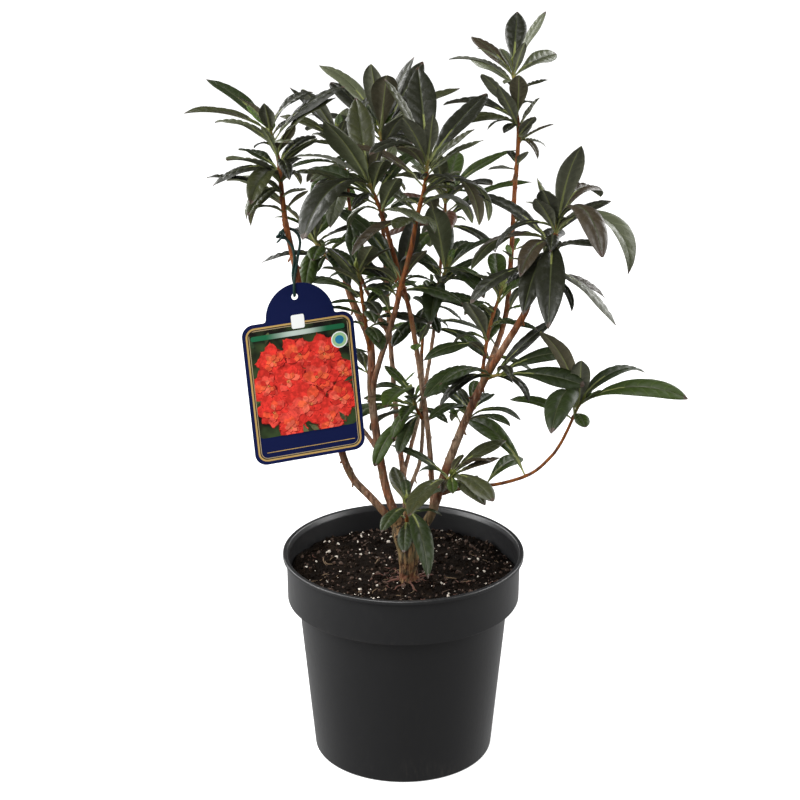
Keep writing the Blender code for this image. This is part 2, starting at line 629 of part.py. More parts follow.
def arc(centre, radius, start, end, steps):
    """Points on an arc, in degrees; radius is one number or an (across, up) pair."""
    across, up = radius if isinstance(radius, tuple) else (radius, radius)
    for i in range(steps + 1):
        angle = math.radians(start + (end - start) * i / steps)
        yield centre[0] + across * math.cos(angle), centre[1] + up * math.sin(angle)


def tag_outline():
    """Card with round corners and a dome that carries the hole."""
    half, r = TAG_WIDTH / 2, TAG_CORNER
    return [*arc((half - r, TAG_BOTTOM + r), r, -90, 0, 5), *arc((half - r, TAG_TOP - r), r, 0, 90, 5),
            *arc((TAG_DOME_SHIFT, TAG_TOP), (TAG_DOME_HALF_WIDTH, TAG_DOME_TOP - TAG_TOP), 0, 180, 14),
            *arc((r - half, TAG_TOP - r), r, 90, 180, 5), *arc((r - half, TAG_BOTTOM + r), r, 180, 270, 5)]


def tag_pose():
    lean = Matrix.Rotation(math.radians(90 - TAG_LEAN), 4, "X")
    swing = Matrix.Rotation(math.radians(TAG_SWING), 4, "Z")
    turn = Matrix.Rotation(math.radians(TAG_TURN), 4, "Z")
    return Matrix.Translation(metres(TAG_HOLE_AT)) @ turn @ lean @ swing


def card_mesh(thickness, ahead=0.0):
    """A plate in the card's outline, with its hole, this thick and this far in front of the card."""
    curve = bpy.data.curves.new("tag", "CURVE")
    curve.dimensions = "2D"
    curve.fill_mode = "BOTH"
    curve.extrude = thickness * MM / 2
    for outline in (tag_outline(), list(arc((0, 0), TAG_HOLE_RADIUS, 0, 345, 23))):
        spline = curve.splines.new("POLY")
        spline.points.add(len(outline) - 1)
        for knot, (x, y) in zip(spline.points, outline):
            knot.co = (x * MM, y * MM, 0, 1)
        spline.use_cyclic_u = True
    mesh = curve_mesh(curve)
    mesh.transform(tag_pose() @ Matrix.Translation(metres((0, 0, ahead))))
    return mesh


def make_tie(parts, finish):
    """A closed loop of soft tie through the card's hole and round the far left bough."""
    points = smooth_line((*TIE_ROUTE, TIE_ROUTE[0]), 5)[:-1]
    curve = bpy.data.curves.new("tie", "CURVE")
    curve.dimensions = "3D"
    curve.bevel_depth = TIE_RADIUS * MM
    curve.bevel_resolution = 1
    spline = curve.splines.new("POLY")
    spline.points.add(len(points) - 1)
    for knot, point in zip(spline.points, points):
        knot.co = (*point, 1)
    spline.use_cyclic_u = True
    return mesh_object("tie", curve_mesh(curve), parts, finish)


# ---------------------------------------------------------------- the whole plant

def main():
    clear_scene()
    parts, cutters = collection("potted_azalea"), collection("cutters")
    plastic = material("pot_plastic", (0.018, 0.018, 0.02), 0.42)
    compost = material("compost", (0.035, 0.022, 0.015), 0.95)
    bark = material("bark", (0.2, 0.13, 0.08), 0.85)
    foliage = material("leaf", (0.05, 0.08, 0.03), 0.5)
    card = material("tag_card", (0.01, 0.012, 0.06), 0.35)
    tie = material("tie", (0.01, 0.04, 0.035), 0.6)

    make_pot(parts, cutters, plastic)
    make_soil(parts, compost)
    limbs, clearances, limb_trees = make_limbs(parts, cutters, bark)
    tag, loop = mesh_object("tag", card_mesh(TAG_THICKNESS), parts, card), make_tie(parts, tie)
    pot_guard = tapered_tube([metres((0, 0, 120)), metres((0, 0, SOIL_LEVEL + 1))],
                             ((0, POT_RIM_RADIUS - 4), (1, POT_RIM_RADIUS - 4)), 4)
    card_view = card_mesh(TAG_VIEW, TAG_VIEW / 2 + 1)
    obstacles = [*limb_trees.values(), bvh_of(tag.data), bvh_of(loop.data), bvh_of(pot_guard),
                 bvh_of(card_view)]
    for helper in (pot_guard, card_view):
        bpy.data.meshes.remove(helper)
    lines, leaves = grow_crown(limbs, obstacles)
    for name in SPRAYS:
        make_spray(name, lines[name], [leaf for leaf, *_ in leaves[name]], clearances, parts, foliage)


if __name__ == "__main__":
    main()
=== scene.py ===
"""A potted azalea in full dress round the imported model: pot, compost, bark, leaves, tag and tie.

Sizes are in millimetres unless a comment says otherwise, and MM turns them into metres. The
origin is the centre of the pot's underside, +Z is up and -Y is the plant's front.
"""

import functools
import json
import random
from collections import namedtuple
from math import asin, atan2, cos, degrees, hypot, pi, radians, sin, sqrt, tan, tau

import bmesh
import bpy
import numpy as np
from bpy.props import FloatProperty, FloatVectorProperty, IntProperty, PointerProperty
from mathutils import Matrix, Vector, noise
from mathutils.bvhtree import BVHTree

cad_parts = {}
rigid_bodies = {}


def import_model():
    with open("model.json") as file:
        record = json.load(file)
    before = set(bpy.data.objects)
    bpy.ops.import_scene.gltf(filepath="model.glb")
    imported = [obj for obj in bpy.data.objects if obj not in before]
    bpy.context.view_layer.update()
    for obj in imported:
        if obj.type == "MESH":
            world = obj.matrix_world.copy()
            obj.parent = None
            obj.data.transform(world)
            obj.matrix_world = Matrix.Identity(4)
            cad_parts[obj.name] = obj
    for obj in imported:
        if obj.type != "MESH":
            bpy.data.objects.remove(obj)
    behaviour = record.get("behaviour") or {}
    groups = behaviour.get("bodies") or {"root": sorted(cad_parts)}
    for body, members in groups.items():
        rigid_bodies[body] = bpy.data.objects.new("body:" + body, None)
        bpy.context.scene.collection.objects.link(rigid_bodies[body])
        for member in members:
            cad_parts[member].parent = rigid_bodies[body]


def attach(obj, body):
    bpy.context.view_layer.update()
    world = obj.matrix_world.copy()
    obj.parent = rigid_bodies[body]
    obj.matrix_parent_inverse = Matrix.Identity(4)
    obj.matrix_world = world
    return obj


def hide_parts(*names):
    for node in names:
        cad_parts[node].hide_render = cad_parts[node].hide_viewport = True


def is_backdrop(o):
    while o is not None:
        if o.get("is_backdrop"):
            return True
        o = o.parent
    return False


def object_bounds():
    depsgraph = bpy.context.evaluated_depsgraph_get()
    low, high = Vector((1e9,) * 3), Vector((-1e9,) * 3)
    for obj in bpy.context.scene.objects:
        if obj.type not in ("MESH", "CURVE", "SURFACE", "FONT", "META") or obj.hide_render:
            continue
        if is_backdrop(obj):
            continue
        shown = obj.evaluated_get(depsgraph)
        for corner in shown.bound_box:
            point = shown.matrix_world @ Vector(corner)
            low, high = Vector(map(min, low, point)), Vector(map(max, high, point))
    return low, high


bl_info = {
    "name": "Potted azalea",
    "version": (1, 0, 0),
    "blender": (4, 5, 0),
    "location": "3D View > Sidebar > Azalea",
    "description": "Builds a potted azalea with its compost, bark, leaves and hang tag",
    "category": "Add Mesh",
}

for startup in list(bpy.data.objects):
    bpy.data.objects.remove(startup)
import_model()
CAD_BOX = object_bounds()

MM = 0.001
GAP = 0.3  # clearance between touching solids

# Pot and compost.
POT_HEIGHT = 168
POT_RIM_RADIUS = 95
POT_RIM_DEPTH = 3
POT_RIM_WIDTH = 3.4
POT_COLLAR_RADIUS = 92
POT_DRAFT = 0.4  # the collar is this much narrower at its foot
POT_STEP_HEIGHT = 130
POT_BODY_TOP_RADIUS = 83.2
POT_FOOT_RADIUS = 71.1
POT_FOOT_ROUND = 2
POT_WALL = 1.8
DRAIN_HOLES = 6
DRAIN_RADIUS = 6
DRAIN_RING_RADIUS = 55
SOIL_LEVEL = 153
SOIL_FLAT_RADIUS = 66

# Trunk: centre line from the flat cut at soil level to the head where the boughs fork.
TRUNK_ROUTE = ((4, -22, SOIL_LEVEL + GAP), (4, -22, 165), (3.5, -22, 178), (2, -20, 190), (1, -19, 202))
TRUNK_RADII = ((0, 9.2), (0.08, 7.6), (0.22, 6.9), (0.5, 7.8), (0.78, 11), (0.92, 9.5), (1, 5))

# Boughs: base radius, tip radius and centre line. Each starts inside the limb that bears it.
BOUGHS = {
    "bough_left": (3.4, 2.6, ((-1, -18, 194), (-14, -18, 231), (-24, -14, 300), (-25, -10, 342),
        (-39, 12, 370), (-46, 25, 390))),
    "bough_right": (3.7, 2.4, ((6, -20, 188), (21, -22, 207), (35, -34, 258), (57, -46, 320),
        (85, -60, 377), (90, -62, 389))),
    "bough_back": (2.4, 1.5, ((3, -14, 194), (0, 8, 228), (-5, 30, 264), (-12, 58, 349),
        (-17, 76, 430))),
    "bough_far_left": (3.1, 2.2, ((-3, -19, 194), (-24, -18, 219), (-40, -17, 238), (-50, -18, 268),
        (-61, -24, 314), (-73, -31, 376), (-82, -28, 420), (-87, -25, 444))),
    "bough_centre": (2.2, 1.6, ((23, -24, 212), (22, -20, 230), (20, -22, 262), (16, -26, 299),
        (6, -32, 368), (-3, -38, 405), (-13, -45, 444))),
    "bough_top_centre": (2.2, 1.8, ((-24, -14, 303), (-20, -22, 325), (-7, -38, 374), (0, -48, 406),
        (6, -52, 430))),
    "bough_top_right": (2.3, 1.7, ((54, -44, 311), (60, -32, 322), (76, 4, 353), (81, 22, 383),
        (85, 44, 452), (86, 47, 459))),
    "bough_low_right": (1.7, 1.4, ((30, -27, 228), (43, -29, 232), (57, -32, 236))),
    "bough_middle": (1.7, 1.3, ((5, -17, 196), (4, -12, 221), (13, -6, 247), (15, -2, 285),
        (14, 20, 327))),
    "bough_back_left": (1.5, 1.2, ((-9, 48, 325), (-25, 60, 355), (-37, 66, 385), (-42, 70, 430))),
    "bough_rear": (1.7, 1.3, ((0, 8, 228), (14, 50, 270), (24, 80, 320), (31, 104, 385))),
    "bough_rear_left": (1.8, 1.3, ((-19, -16, 258), (-32, 20, 262), (-50, 60, 266), (-66, 88, 272))),
}
BOUGH_SPACING = 14
THIN_BOUGH = 2.5  # boughs under this radius are six-sided, the rest eight-sided

# Sprays: the limb whose side bears them, or TIP for the tip of the bough with the same name, the
# stem's radii, number and length range of the leaves that follow the spiral, the tones that its
# leaves are drawn from, and the stem's centre line. Then the leading leaves, which give a spray its
# outline: how far along the stem, bearing, rise, droop, length, and a roll where the blade is
# twisted, with angles in degrees. Last the finer leaves that the solids leave out, in the same terms.
TIP = "tip"
Spray = namedtuple("Spray", "bearer radii count lengths tones route leads fine", defaults=((), ()))
SPRAYS = {
    "top_centre": Spray(
        TIP, (1.8, 1.3), 6, (45, 75), "dark dark dark olive sage bronze silver",
        ((10, -54, 454), (15, -56, 476), (17, -58, 496)),
        leads=((1, 95, 40, 15, 95), (1, 160, 70, 20, 65), (0.95, 60, 30, 15, 95),
          (0.9, 10, 50, 20, 45), (0.95, 235, 55, 75, 80), (0.9, 235, 50, 40, 60),
          (0.65, 20, 50, 150, 78), (0.5, 30, 45, 130, 62), (0.8, 290, 35, 40, 60),
          (0.35, 250, 35, 50, 50)),
        fine=((0.75, 110, 20, 40, 45), (0.65, 40, 30, 120, 95), (0.4, 105, 15, 20, 60),
          (1, 280, 65, 10, 45), (0.6, 320, 40, 30, 45))),
    "top_right": Spray(
        TIP, (1.7, 1.2), 5, (22, 38), "dark dark silver bronze olive sage olive",
        ((87, 50, 478), (87, 52, 497), (84, 54, 515), (83, 56, 538)),
        leads=((1, 85, 40, 15, 65), (1, 15, 70, 20, 50), (0.95, 55, 20, 20, 60, 40),
          (0.95, 120, 35, 30, 65), (0.9, 175, 50, 60, 55), (0.9, 125, 30, 40, 60),
          (0.6, 270, 55, 10, 50), (0.5, 240, 55, 10, 50), (0.55, 225, 50, 25, 60),
          (0.6, 135, 20, 40, 80), (0.55, 220, 40, 60, 60), (0.45, 290, 45, 20, 40),
          (0.55, 10, 60, 10, 28, 0), (0.1, 180, 10, 20, 22, 0)),
        fine=((0.1, 100, 15, 10, 28), (0.1, 285, 40, 10, 28), (0.95, 290, 65, 10, 34),
          (0.3, 60, 30, 20, 36), (0.35, 330, 40, 20, 34))),
    "right": Spray(
        TIP, (2.2, 1.4), 7, (50, 80), "dark dark dark bronze sage silver",
        ((99, -65, 418), (107, -66, 439), (110, -68, 453)),
        leads=((1, 280, 70, 35, 85), (1, 60, 50, 95, 80), (0.85, 325, 70, 175, 95),
          (0.95, 185, 35, 110, 55), (0.8, 135, 15, 80, 95), (0.8, 265, 10, 60, 105),
          (0.7, 255, 15, 60, 90), (0.55, 340, -10, 50, 70), (0.95, 245, 50, 20, 55)),
        fine=((1, 75, 35, 10, 60), (0.85, 290, 70, 130, 110), (0.75, 245, 30, 70, 70),
          (0.5, 185, -10, 30, 30), (1, 200, 70, 10, 40))),
    "far_left": Spray(
        TIP, (2.1, 1.3), 9, (45, 70), "dark dark dark deep olive sage",
        ((-89, -22, 465), (-91, -18, 486), (-97, -14, 507)),
        leads=((1, 130, 30, 25, 85), (1, 185, 35, 45, 65), (1, 15, 75, 70, 45),
          (0.8, 10, 65, 50, 60), (0.45, 255, 45, 90, 75), (0.25, 180, 45, 55, 60),
          (0.45, 240, 45, 40, 75), (0.6, 125, 20, 30, 60)),
        fine=((1, 270, 40, 10, 50), (0.6, 285, 50, 15, 60), (0.2, 135, 25, 40, 65),
          (0.02, 240, 35, 40, 45), (0.55, 75, 10, 20, 50), (0.3, 295, 30, 20, 45),
          (0.7, 245, 55, 25, 40), (0.35, 250, 50, 20, 40), (0.3, 130, 35, 120, 60),
          (0.5, 310, 45, 30, 30), (1, 115, 85, 10, 20), (0.85, 300, 50, 10, 38),
          (0.15, 320, 50, 20, 32))),
    "back": Spray(
        TIP, (1.5, 1.2), 6, (50, 80), "dark dark olive sage",
        ((-15, 82, 462), (-18, 86, 487)),
        leads=((1, 125, 45, 45, 95), (0.95, 260, 60, 10, 75), (0.95, 275, 50, 15, 85),
          (0.95, 20, 75, 20, 65), (0.9, 60, 45, 20, 85), (0.9, 120, 35, 25, 85),
          (0.8, 295, 45, 60, 60)),
        fine=((0.85, 65, 35, 30, 60), (0.6, 300, 40, 30, 50))),
    "centre": Spray(
        TIP, (1.6, 1.3), 5, (45, 75), "dark dark dark deep olive sage silver",
        ((-18, -47, 460), (-25, -50, 477)),
        leads=((0.95, 245, 50, 20, 95), (0.95, 100, 40, 15, 90), (0.95, 180, 55, 70, 65),
          (0.85, 240, 40, 95, 110), (0.6, 140, 35, 50, 75), (0.4, 285, 45, 15, 60)),
        fine=((0.8, 70, 25, 20, 55), (0.7, 180, 30, 30, 45), (1, 290, 60, 10, 40))),
    "back_left": Spray(
        TIP, (1.2, 1.1), 8, (45, 75), "dark deep olive sage",
        ((-44, 70, 450), (-48, 70, 469), (-50, 70, 484)),
        leads=((0.95, 170, 55, 20, 55), (0.95, 245, 50, 20, 80), (0.9, 120, 30, 60, 60),
          (0.85, 245, 30, 30, 60)),
        fine=((0.9, 85, 20, 10, 60),)),
    "low_right": Spray(
        TIP, (1.4, 1.1), 0, (45, 70), "deep green green deep",
        ((73, -36, 239), (95, -42, 249), (109, -44, 262), (119, -44, 277), (131, -42, 305)),
        leads=((1, 350, 40, 70, 85, 40), (1, 40, 50, 80, 75), (1, 270, 65, 15, 55),
          (1, 235, 75, 40, 90), (0.95, 255, 70, 120, 100), (0.95, 280, 35, 60, 35),
          (1, 95, 30, 20, 60), (0.1, 55, 30, 50, 55, 30), (0.4, 125, 50, 60, 80, -30),
          (0.95, 150, 25, 40, 55))),
    "inner_right": Spray(
        "bough_right", (1.5, 1.1), 7, (40, 60), "green deep deep",
        ((58, -46, 322), (60, -34, 338), (65, -20, 361), (73, -8, 383)),
        leads=((1, 175, 45, 50, 50), (0.95, 90, 25, 15, 60), (0.8, 175, 30, 35, 50),
          (0.5, 250, 50, 15, 65), (0.45, 70, 15, 20, 60), (0.2, 185, 25, 80, 50),
          (0.2, 235, 30, 60, 80)),
        fine=((1, 155, 80, 60, 20), (0.95, 70, 20, 20, 45), (0.4, 170, 40, 20, 20),
          (0.35, 235, 45, 30, 45))),
    "right_side": Spray(
        "bough_right", (1.4, 1.2), 1, (45, 60), "deep dark",
        ((62, -49, 329), (70, -54, 333)),
        leads=((1, 0, 35, 45, 55, 50), (0.6, 350, 5, 40, 68, 55), (0.8, 20, 48, 15, 60)),
        fine=((0.02, 185, 30, 80, 50), (0.02, 235, 30, 60, 70))),
    "left": Spray(
        TIP, (1.6, 1.2), 9, (45, 70), "green deep dark",
        ((-60, 32, 400), (-68, 38, 410)),
        leads=((1, 80, 15, 20, 65), (0.95, 5, 40, 60, 45), (0.9, 260, 10, 60, 60),
          (0.65, 295, 15, 60, 50)),
        fine=((1, 260, 50, 20, 50),)),
    "inner_left": Spray(
        "bough_left", (1.6, 1.1), 11, (35, 60), "green deep dark deep",
        ((-25, -11, 335), (-29, -22, 369), (-33, -30, 405)),
        leads=((1, 285, 40, 10, 55), (0.9, 115, 20, 40, 60)),
        fine=((0.8, 235, 50, 30, 60), (0.65, 180, 15, 30, 25), (0.5, 280, 40, 60, 45),
          (0.35, 260, 25, 50, 45))),
    "middle": Spray(
        TIP, (1.3, 1.1), 9, (40, 70), "deep green deep",
        ((17, 30, 353), (27, 36, 371), (33, 40, 387)),
        leads=((0.95, 255, 70, 30, 80), (0.95, 305, 30, 60, 75), (0.95, 65, 45, 80, 70),
          (0.8, 265, 35, 90, 70), (0.9, 115, 20, 20, 65)),
        fine=((1, 90, 25, 15, 60), (0.55, 350, 5, 60, 30), (0.5, 285, 10, 50, 35),
          (0.55, 70, 10, 20, 40), (0.3, 350, 10, 70, 60, 50))),
    "inner_centre": Spray(
        "bough_top_centre", (1.5, 1.2), 5, (45, 70), "deep dark deep",
        ((-5, -39, 380), (-4, -24, 388), (-1, -8, 393)),
        leads=((0.75, 125, 45, 60, 100), (0.9, 70, 15, 20, 85), (0.8, 105, 25, 20, 80),
          (0.7, 240, 50, 40, 55)),
        fine=((0.9, 290, 45, 15, 60), (0.65, 55, 20, 50, 70))),
    "low_middle": Spray(
        "bough_middle", (1.3, 1.0), 6, (30, 50), "green deep green",
        ((14.6, -3, 280), (10, -7, 289), (7, -9, 300)),
        leads=((0.9, 245, 40, 50, 85), (0.6, 255, 25, 40, 45)),
        fine=((0.5, 185, 15, 60, 72, -60), (0.35, 65, 25, 20, 40), (0.3, 200, 0, 70, 62, -50),
          (0.02, 250, 10, 60, 50), (0.15, 120, 15, 60, 60))),
    "rear": Spray(
        TIP, (1.3, 1.1), 14, (50, 80), "deep dark green russet",
        ((33, 110, 405), (34, 113, 428))),
    "rear_left": Spray(
        TIP, (1.3, 1.1), 12, (45, 65), "green deep olive",
        ((-74, 95, 278), (-80, 100, 290))),
    "foot_right": Spray(
        "bough_right", (1.5, 1.2), 4, (40, 60), "deep olive bronze olive",
        ((29, -28, 232), (33, -40, 242), (36, -52, 252)),
        leads=((0.65, 245, 25, 50, 80), (0.8, 295, 35, 60, 70), (1, 5, 30, 20, 40)),
        fine=((0.4, 60, -5, 40, 60), (0.4, 115, 10, 30, 45))),
    "foot": Spray(
        "trunk", (1.5, 1.2), 3, (35, 50), "deep deep olive",
        ((2, -22, 196), (3, -33, 210), (3, -38, 222)),
        leads=((0.85, 245, 30, 60, 50), (0.8, 285, 20, 80, 80), (1, 115, 20, 15, 55))),
    "right_low": Spray(
        "bough_right", (1.4, 1.1), 2, (40, 55), "deep green",
        ((46, -40, 288), (50, -27, 290), (52, -21, 293)),
        leads=((0.9, 245, 45, 70, 60), (0.9, 65, 15, 30, 45))),
}
FINE_SEED = 7
FINE_COUNT, FINE_LENGTHS = 5, (20, 44)  # spiral leaves tried on each spray after those
FINE_RISE, FINE_DROOP = 8, 45  # they start steeper and hang more than the spray's own
FINE_SLIMMER = 0.8  # finer leaves are this much narrower
OPEN_SPRAYS = ("low_right",)  # no spiral leaves are added here
STEM_SPACING = 12
LOWEST_ROOT = 4  # no leaf starts nearer than this to the stem's foot
BUD_LENGTH = 9
BUD_RADIUS = 2.3
LEAF_STAGGER = 0.7  # each next leaf starts this much lower on the stem

# Leaves: oblanceolate blades with a keel under the midrib, widest past the middle.
GOLDEN_ANGLE = 137.5
LEAF_STATIONS = (0, 0.2, 0.5, 0.8, 1)
LEAF_WIDTH_BASE = 6
LEAF_WIDTH_SHARE = 0.17
LEAF_WIDEST_SKEW = 1.15
LEAF_FULLNESS = 0.85
LEAF_THICKNESS = 1.5
LEAF_TOP_SHARE = 0.3  # of the thickness above the midrib
PETIOLE_WIDTH = 1.8
LEAF_ROLL = 14
LEAF_CLEARANCE = 0.35
PETIOLE_SHARE = 0.1  # a leaf's foot may meet what bears its spray
OWN_SHARE = 0.3  # a leaf's inner share may cross its own spray
REACH_MARGIN = 10  # leaves further apart than their reach and this aren't compared
TURNS = ((0, 0), (12, 0), (-12, 0), (0, 10), (0, -10), (24, 5), (-24, 5), (20, -12), (-20, -12))
SEED = 43

# Hang tag on a soft tie: card outline in the card's plane, measured from the hole's centre.
TAG_WIDTH = 85
TAG_TOP = -16.5
TAG_BOTTOM = -125
TAG_DOME_HALF_WIDTH = 26
TAG_DOME_TOP = 10
TAG_DOME_SHIFT = 2.5  # the dome stands this far to the right of the hole
TAG_CORNER = 9
TAG_SHOULDER = 2  # hollow rounding where the dome meets the card
TAG_THICKNESS = 0.8
TAG_VIEW = 60  # no leaf hangs this near in front of the card
TAG_HOLE_RADIUS = 2.5
TAG_HOLE_AT = (-80, -38, 388.3)
TAG_SWING = 4
TAG_TURN = 16  # its right side is further back
TAG_LEAN = 4
TIE_RADIUS = 0.8
TIE_ROUTE = ((-80, -40.2, 389.5), (-80.2, -39.8, 396), (-79.6, -37.6, 404), (-77.3, -33.4, 418),
             (-75.8, -29, 428), (-79.4, -23.6, 434), (-85.9, -22.5, 436), (-89.3, -25.6, 433.5),
             (-86.4, -29.9, 430.5), (-81.5, -33.6, 425), (-79.8, -35.3, 417), (-81.2, -35.8, 405),
             (-80.4, -35.6, 397), (-80, -35.9, 389.7))
TIE_END_RADII = ((0, 0.8), (0.94, 0.8), (1, 0.5))
# The twisted knot and its two loose ends.
TIE_ENDS = (
    ((-86.4, -29.9, 430.5), (-88.4, -32, 431), (-90.6, -31.2, 433), (-90.4, -28.6, 434.6),
     (-88, -29, 435.2), (-87.6, -31.8, 433.6), (-90, -33, 430.6), (-92.6, -33.4, 428)),
    ((-88.6, -27.6, 432.6), (-91, -29, 431), (-92.6, -31.6, 431.8), (-91, -33.6, 434),
     (-88.4, -33.4, 436.6)),
)


# ---------------- settings that a user would change

def count_property(name, description, default, least=0):
    return IntProperty(name=name, description=description, default=default, min=least)


def share_property(name, description, default, most=1.0):
    return FloatProperty(name=name, description=description, default=default, min=0, max=most,
                         subtype="FACTOR")


def length_property(name, description, default):
    """A length, given here in millimetres and kept in metres."""
    return FloatProperty(name=name, description=description, default=default * MM, min=0,
                         unit="LENGTH", subtype="DISTANCE", precision=5)


def colour_property(name, description, default):
    return FloatVectorProperty(name=name, description=description, default=default, size=3,
                               min=0, max=1, subtype="COLOR")


class PotSettings(bpy.types.PropertyGroup):
    steps: count_property("Steps", "Facets round the pot", 160, 24)
    rounding: length_property("Edge rounding", "Radius along the rim and the nesting step", 0.8)
    colour: colour_property("Colour", "Moulded plastic", (0.0055, 0.0055, 0.006))
    dust: colour_property("Dust", "Dry compost dust on the plastic", (0.03, 0.026, 0.021))


class CompostSettings(bpy.types.PropertyGroup):
    relief: length_property("Relief", "Height of the larger hollows and humps", 2.4)
    crumbs: count_property("Crumbs", "Loose crumbs on the surface", 2200)
    perlite: count_property("Perlite", "White grains on the surface", 150)
    fibres: count_property("Fibres", "Straw and bark fibres", 70)
    colour: colour_property("Colour", "Damp peat", (0.0028, 0.0016, 0.0009))
    dry_colour: colour_property("Dry colour", "Peat that has dried", (0.0095, 0.006, 0.0037))


class BarkSettings(bpy.types.PropertyGroup):
    ring_spacing: length_property("Ring spacing", "Distance between rings of a limb's mesh", 1.1)
    fissures: length_property("Fissures", "Depth of the cracks in the trunk's bark", 1.1)
    scar_height: length_property("Leaf scars", "Height of the old leaf scars on the boughs", 0.38)
    trunk_colour: colour_property("Trunk", "Ridges of the trunk's bark", (0.15, 0.09, 0.04))
    old_colour: colour_property("Old wood", "Grey-brown bark of the lower boughs", (0.2, 0.135, 0.088))
    young_colour: colour_property("Young wood", "Orange-brown bark of the upper boughs",
                                  (0.155, 0.044, 0.009))


class LeafSettings(bpy.types.PropertyGroup):
    vein_pairs: count_property("Vein pairs", "Side veins on each half of a leaf", 7, 2)
    puff: length_property("Puff", "How far the blade swells between its veins", 0.8)
    ruffle: length_property("Ruffle", "Height of the waves along the margin", 0.8)
    young_leaves: count_property("Young leaves", "Small leaves round each bud", 5)
    sprig_share: share_property("Sprigs", "Share of the boughs' scars that carry a sprig", 0.24)


class TagSettings(bpy.types.PropertyGroup):
    board: colour_property("Board", "Card of the hang tag", (0.0047, 0.0082, 0.044))
    gilding: colour_property("Gilding", "Printed border lines", (0.4, 0.26, 0.085))
    petal: colour_property("Petals", "Printed blooms", (0.58, 0.031, 0.022))


class TieSettings(bpy.types.PropertyGroup):
    sides: count_property("Sides", "Facets round the tie", 14, 6)
    thickness: length_property("Thickness", "Across the coated wire", 2.1)
    colour: colour_property("Colour", "Coated wire", (0.003, 0.013, 0.01))


class StageSettings(bpy.types.PropertyGroup):
    floor_radius: FloatProperty(name="Floor radius", description="How far the pale floor reaches",
                                default=14, min=1, unit="LENGTH", subtype="DISTANCE")
    sky: share_property("Sky", "Even light from all round", 0.075, 10)
    overhead: share_property("Overhead", "Strength of the wide light from above", 3.5, 10)
    box_power: FloatProperty(name="Soft boxes", description="Power of the strongest soft box",
                             default=18, min=0, subtype="POWER", unit="POWER")


# ---------------- materials

NOISE_ROUGHNESS = 0.55


def as_colour(value):
    """A colour with its alpha, or a wire as it is."""
    return value if isinstance(value, Wire) else (*value[:3], 1)


def shade(colour, by):
    """The colour made lighter or darker."""
    return tuple(min(1, part * by) for part in colour[:3])


class Wire:
    """A socket of a node that can be used in sums: each operation adds its Math node."""

    def __init__(self, finish, socket):
        self.finish, self.socket = finish, socket

    def math(self, operation, first, second):
        return self.finish.node("ShaderNodeMath", {"operation": operation}, {0: first, 1: second})

    def __add__(self, other):
        return self.math("ADD", self, other)

    def __sub__(self, other):
        return self.math("SUBTRACT", self, other)

    def __rsub__(self, other):
        return self.math("SUBTRACT", other, self)

    def __mul__(self, other):
        return self.math("MULTIPLY", self, other)

    __radd__, __rmul__ = __add__, __mul__

    def eased(self, low, high):
        """0 below low and 1 above high, with a smooth step between."""
        settings = {"clamp": True, "interpolation_type": "SMOOTHSTEP"}
        return self.finish.node("ShaderNodeMapRange", settings, {0: self, 1: low, 2: high})


class Tree:
    """A tree of nodes being filled."""

    def __init__(self, tree):
        self.tree = tree

    def node(self, kind, settings=None, inputs=None, output=0):
        """Adds a node: its settings first, then the values or links of its inputs."""
        made = self.tree.nodes.new(kind)
        for key, value in (settings or {}).items():
            setattr(made, key, value)
        for key, value in (inputs or {}).items():
            self.feed(made.inputs[key], value)
        return Wire(self, made.outputs[output])

    def feed(self, socket, value):
        if isinstance(value, Wire):
            self.tree.links.new(value.socket, socket)
        else:
            socket.default_value = value


class Finish(Tree):
    """A material being made: one Principled shader and the nodes that feed it."""

    def __init__(self, name, specular=0.5):
        self.material = bpy.data.materials.new(name)
        self.material.use_nodes = True
        super().__init__(self.material.node_tree)
        self.shader = self.tree.nodes["Principled BSDF"]
        self.shader.inputs["Specular IOR Level"].default_value = specular
        self.height = None

    def place(self, stretch=(1, 1, 1)):
        """Where the surface is, in metres, with each axis stretched."""
        spot = self.node("ShaderNodeTexCoord", output="Object")
        if stretch == (1, 1, 1):
            return spot
        return self.node("ShaderNodeVectorMath", {"operation": "MULTIPLY"}, {0: spot, 1: stretch})

    def height_up(self):
        """Height above the pot's underside, in metres."""
        return self.node("ShaderNodeSeparateXYZ", inputs={0: self.place()}, output=2)

    def grain(self, size, detail=3.0, stretch=(1, 1, 1)):
        """Noise whose features are this many millimetres across."""
        return self.node("ShaderNodeTexNoise", inputs={
            "Vector": self.place(stretch), "Scale": 1 / (size * MM), "Detail": detail,
            "Roughness": NOISE_ROUGHNESS})

    def blend(self, share, first, second):
        """The first colour where share is 0 and the second where it is 1."""
        return self.node("ShaderNodeMix", {"data_type": "RGBA"},
                         {0: share, 6: as_colour(first), 7: as_colour(second)}, 2)

    def layered(self, colour, *layers):
        """The colour with others laid over it in turn, each given as (share, colour)."""
        for share, other in layers:
            colour = self.blend(share, colour, other)
        return colour

    def raised(self, height, depth):
        """Bumps this many millimetres high where height goes from 0 to 1, over any bumps before."""
        inputs = {"Strength": 1.0, "Distance": depth * MM, "Height": height}
        if self.height is not None:
            inputs["Normal"] = self.height
        self.height = self.node("ShaderNodeBump", None, inputs)
        return self

    def done(self, colour, roughness, **constants):
        """Feeds the shader and returns the material."""
        self.feed(self.shader.inputs["Base Color"], as_colour(colour))
        self.feed(self.shader.inputs["Roughness"], roughness)
        if self.height is not None:
            self.feed(self.shader.inputs["Normal"], self.height)
        for socket, value in constants.items():
            self.shader.inputs[socket.replace("_", " ")].default_value = value
        return self.material


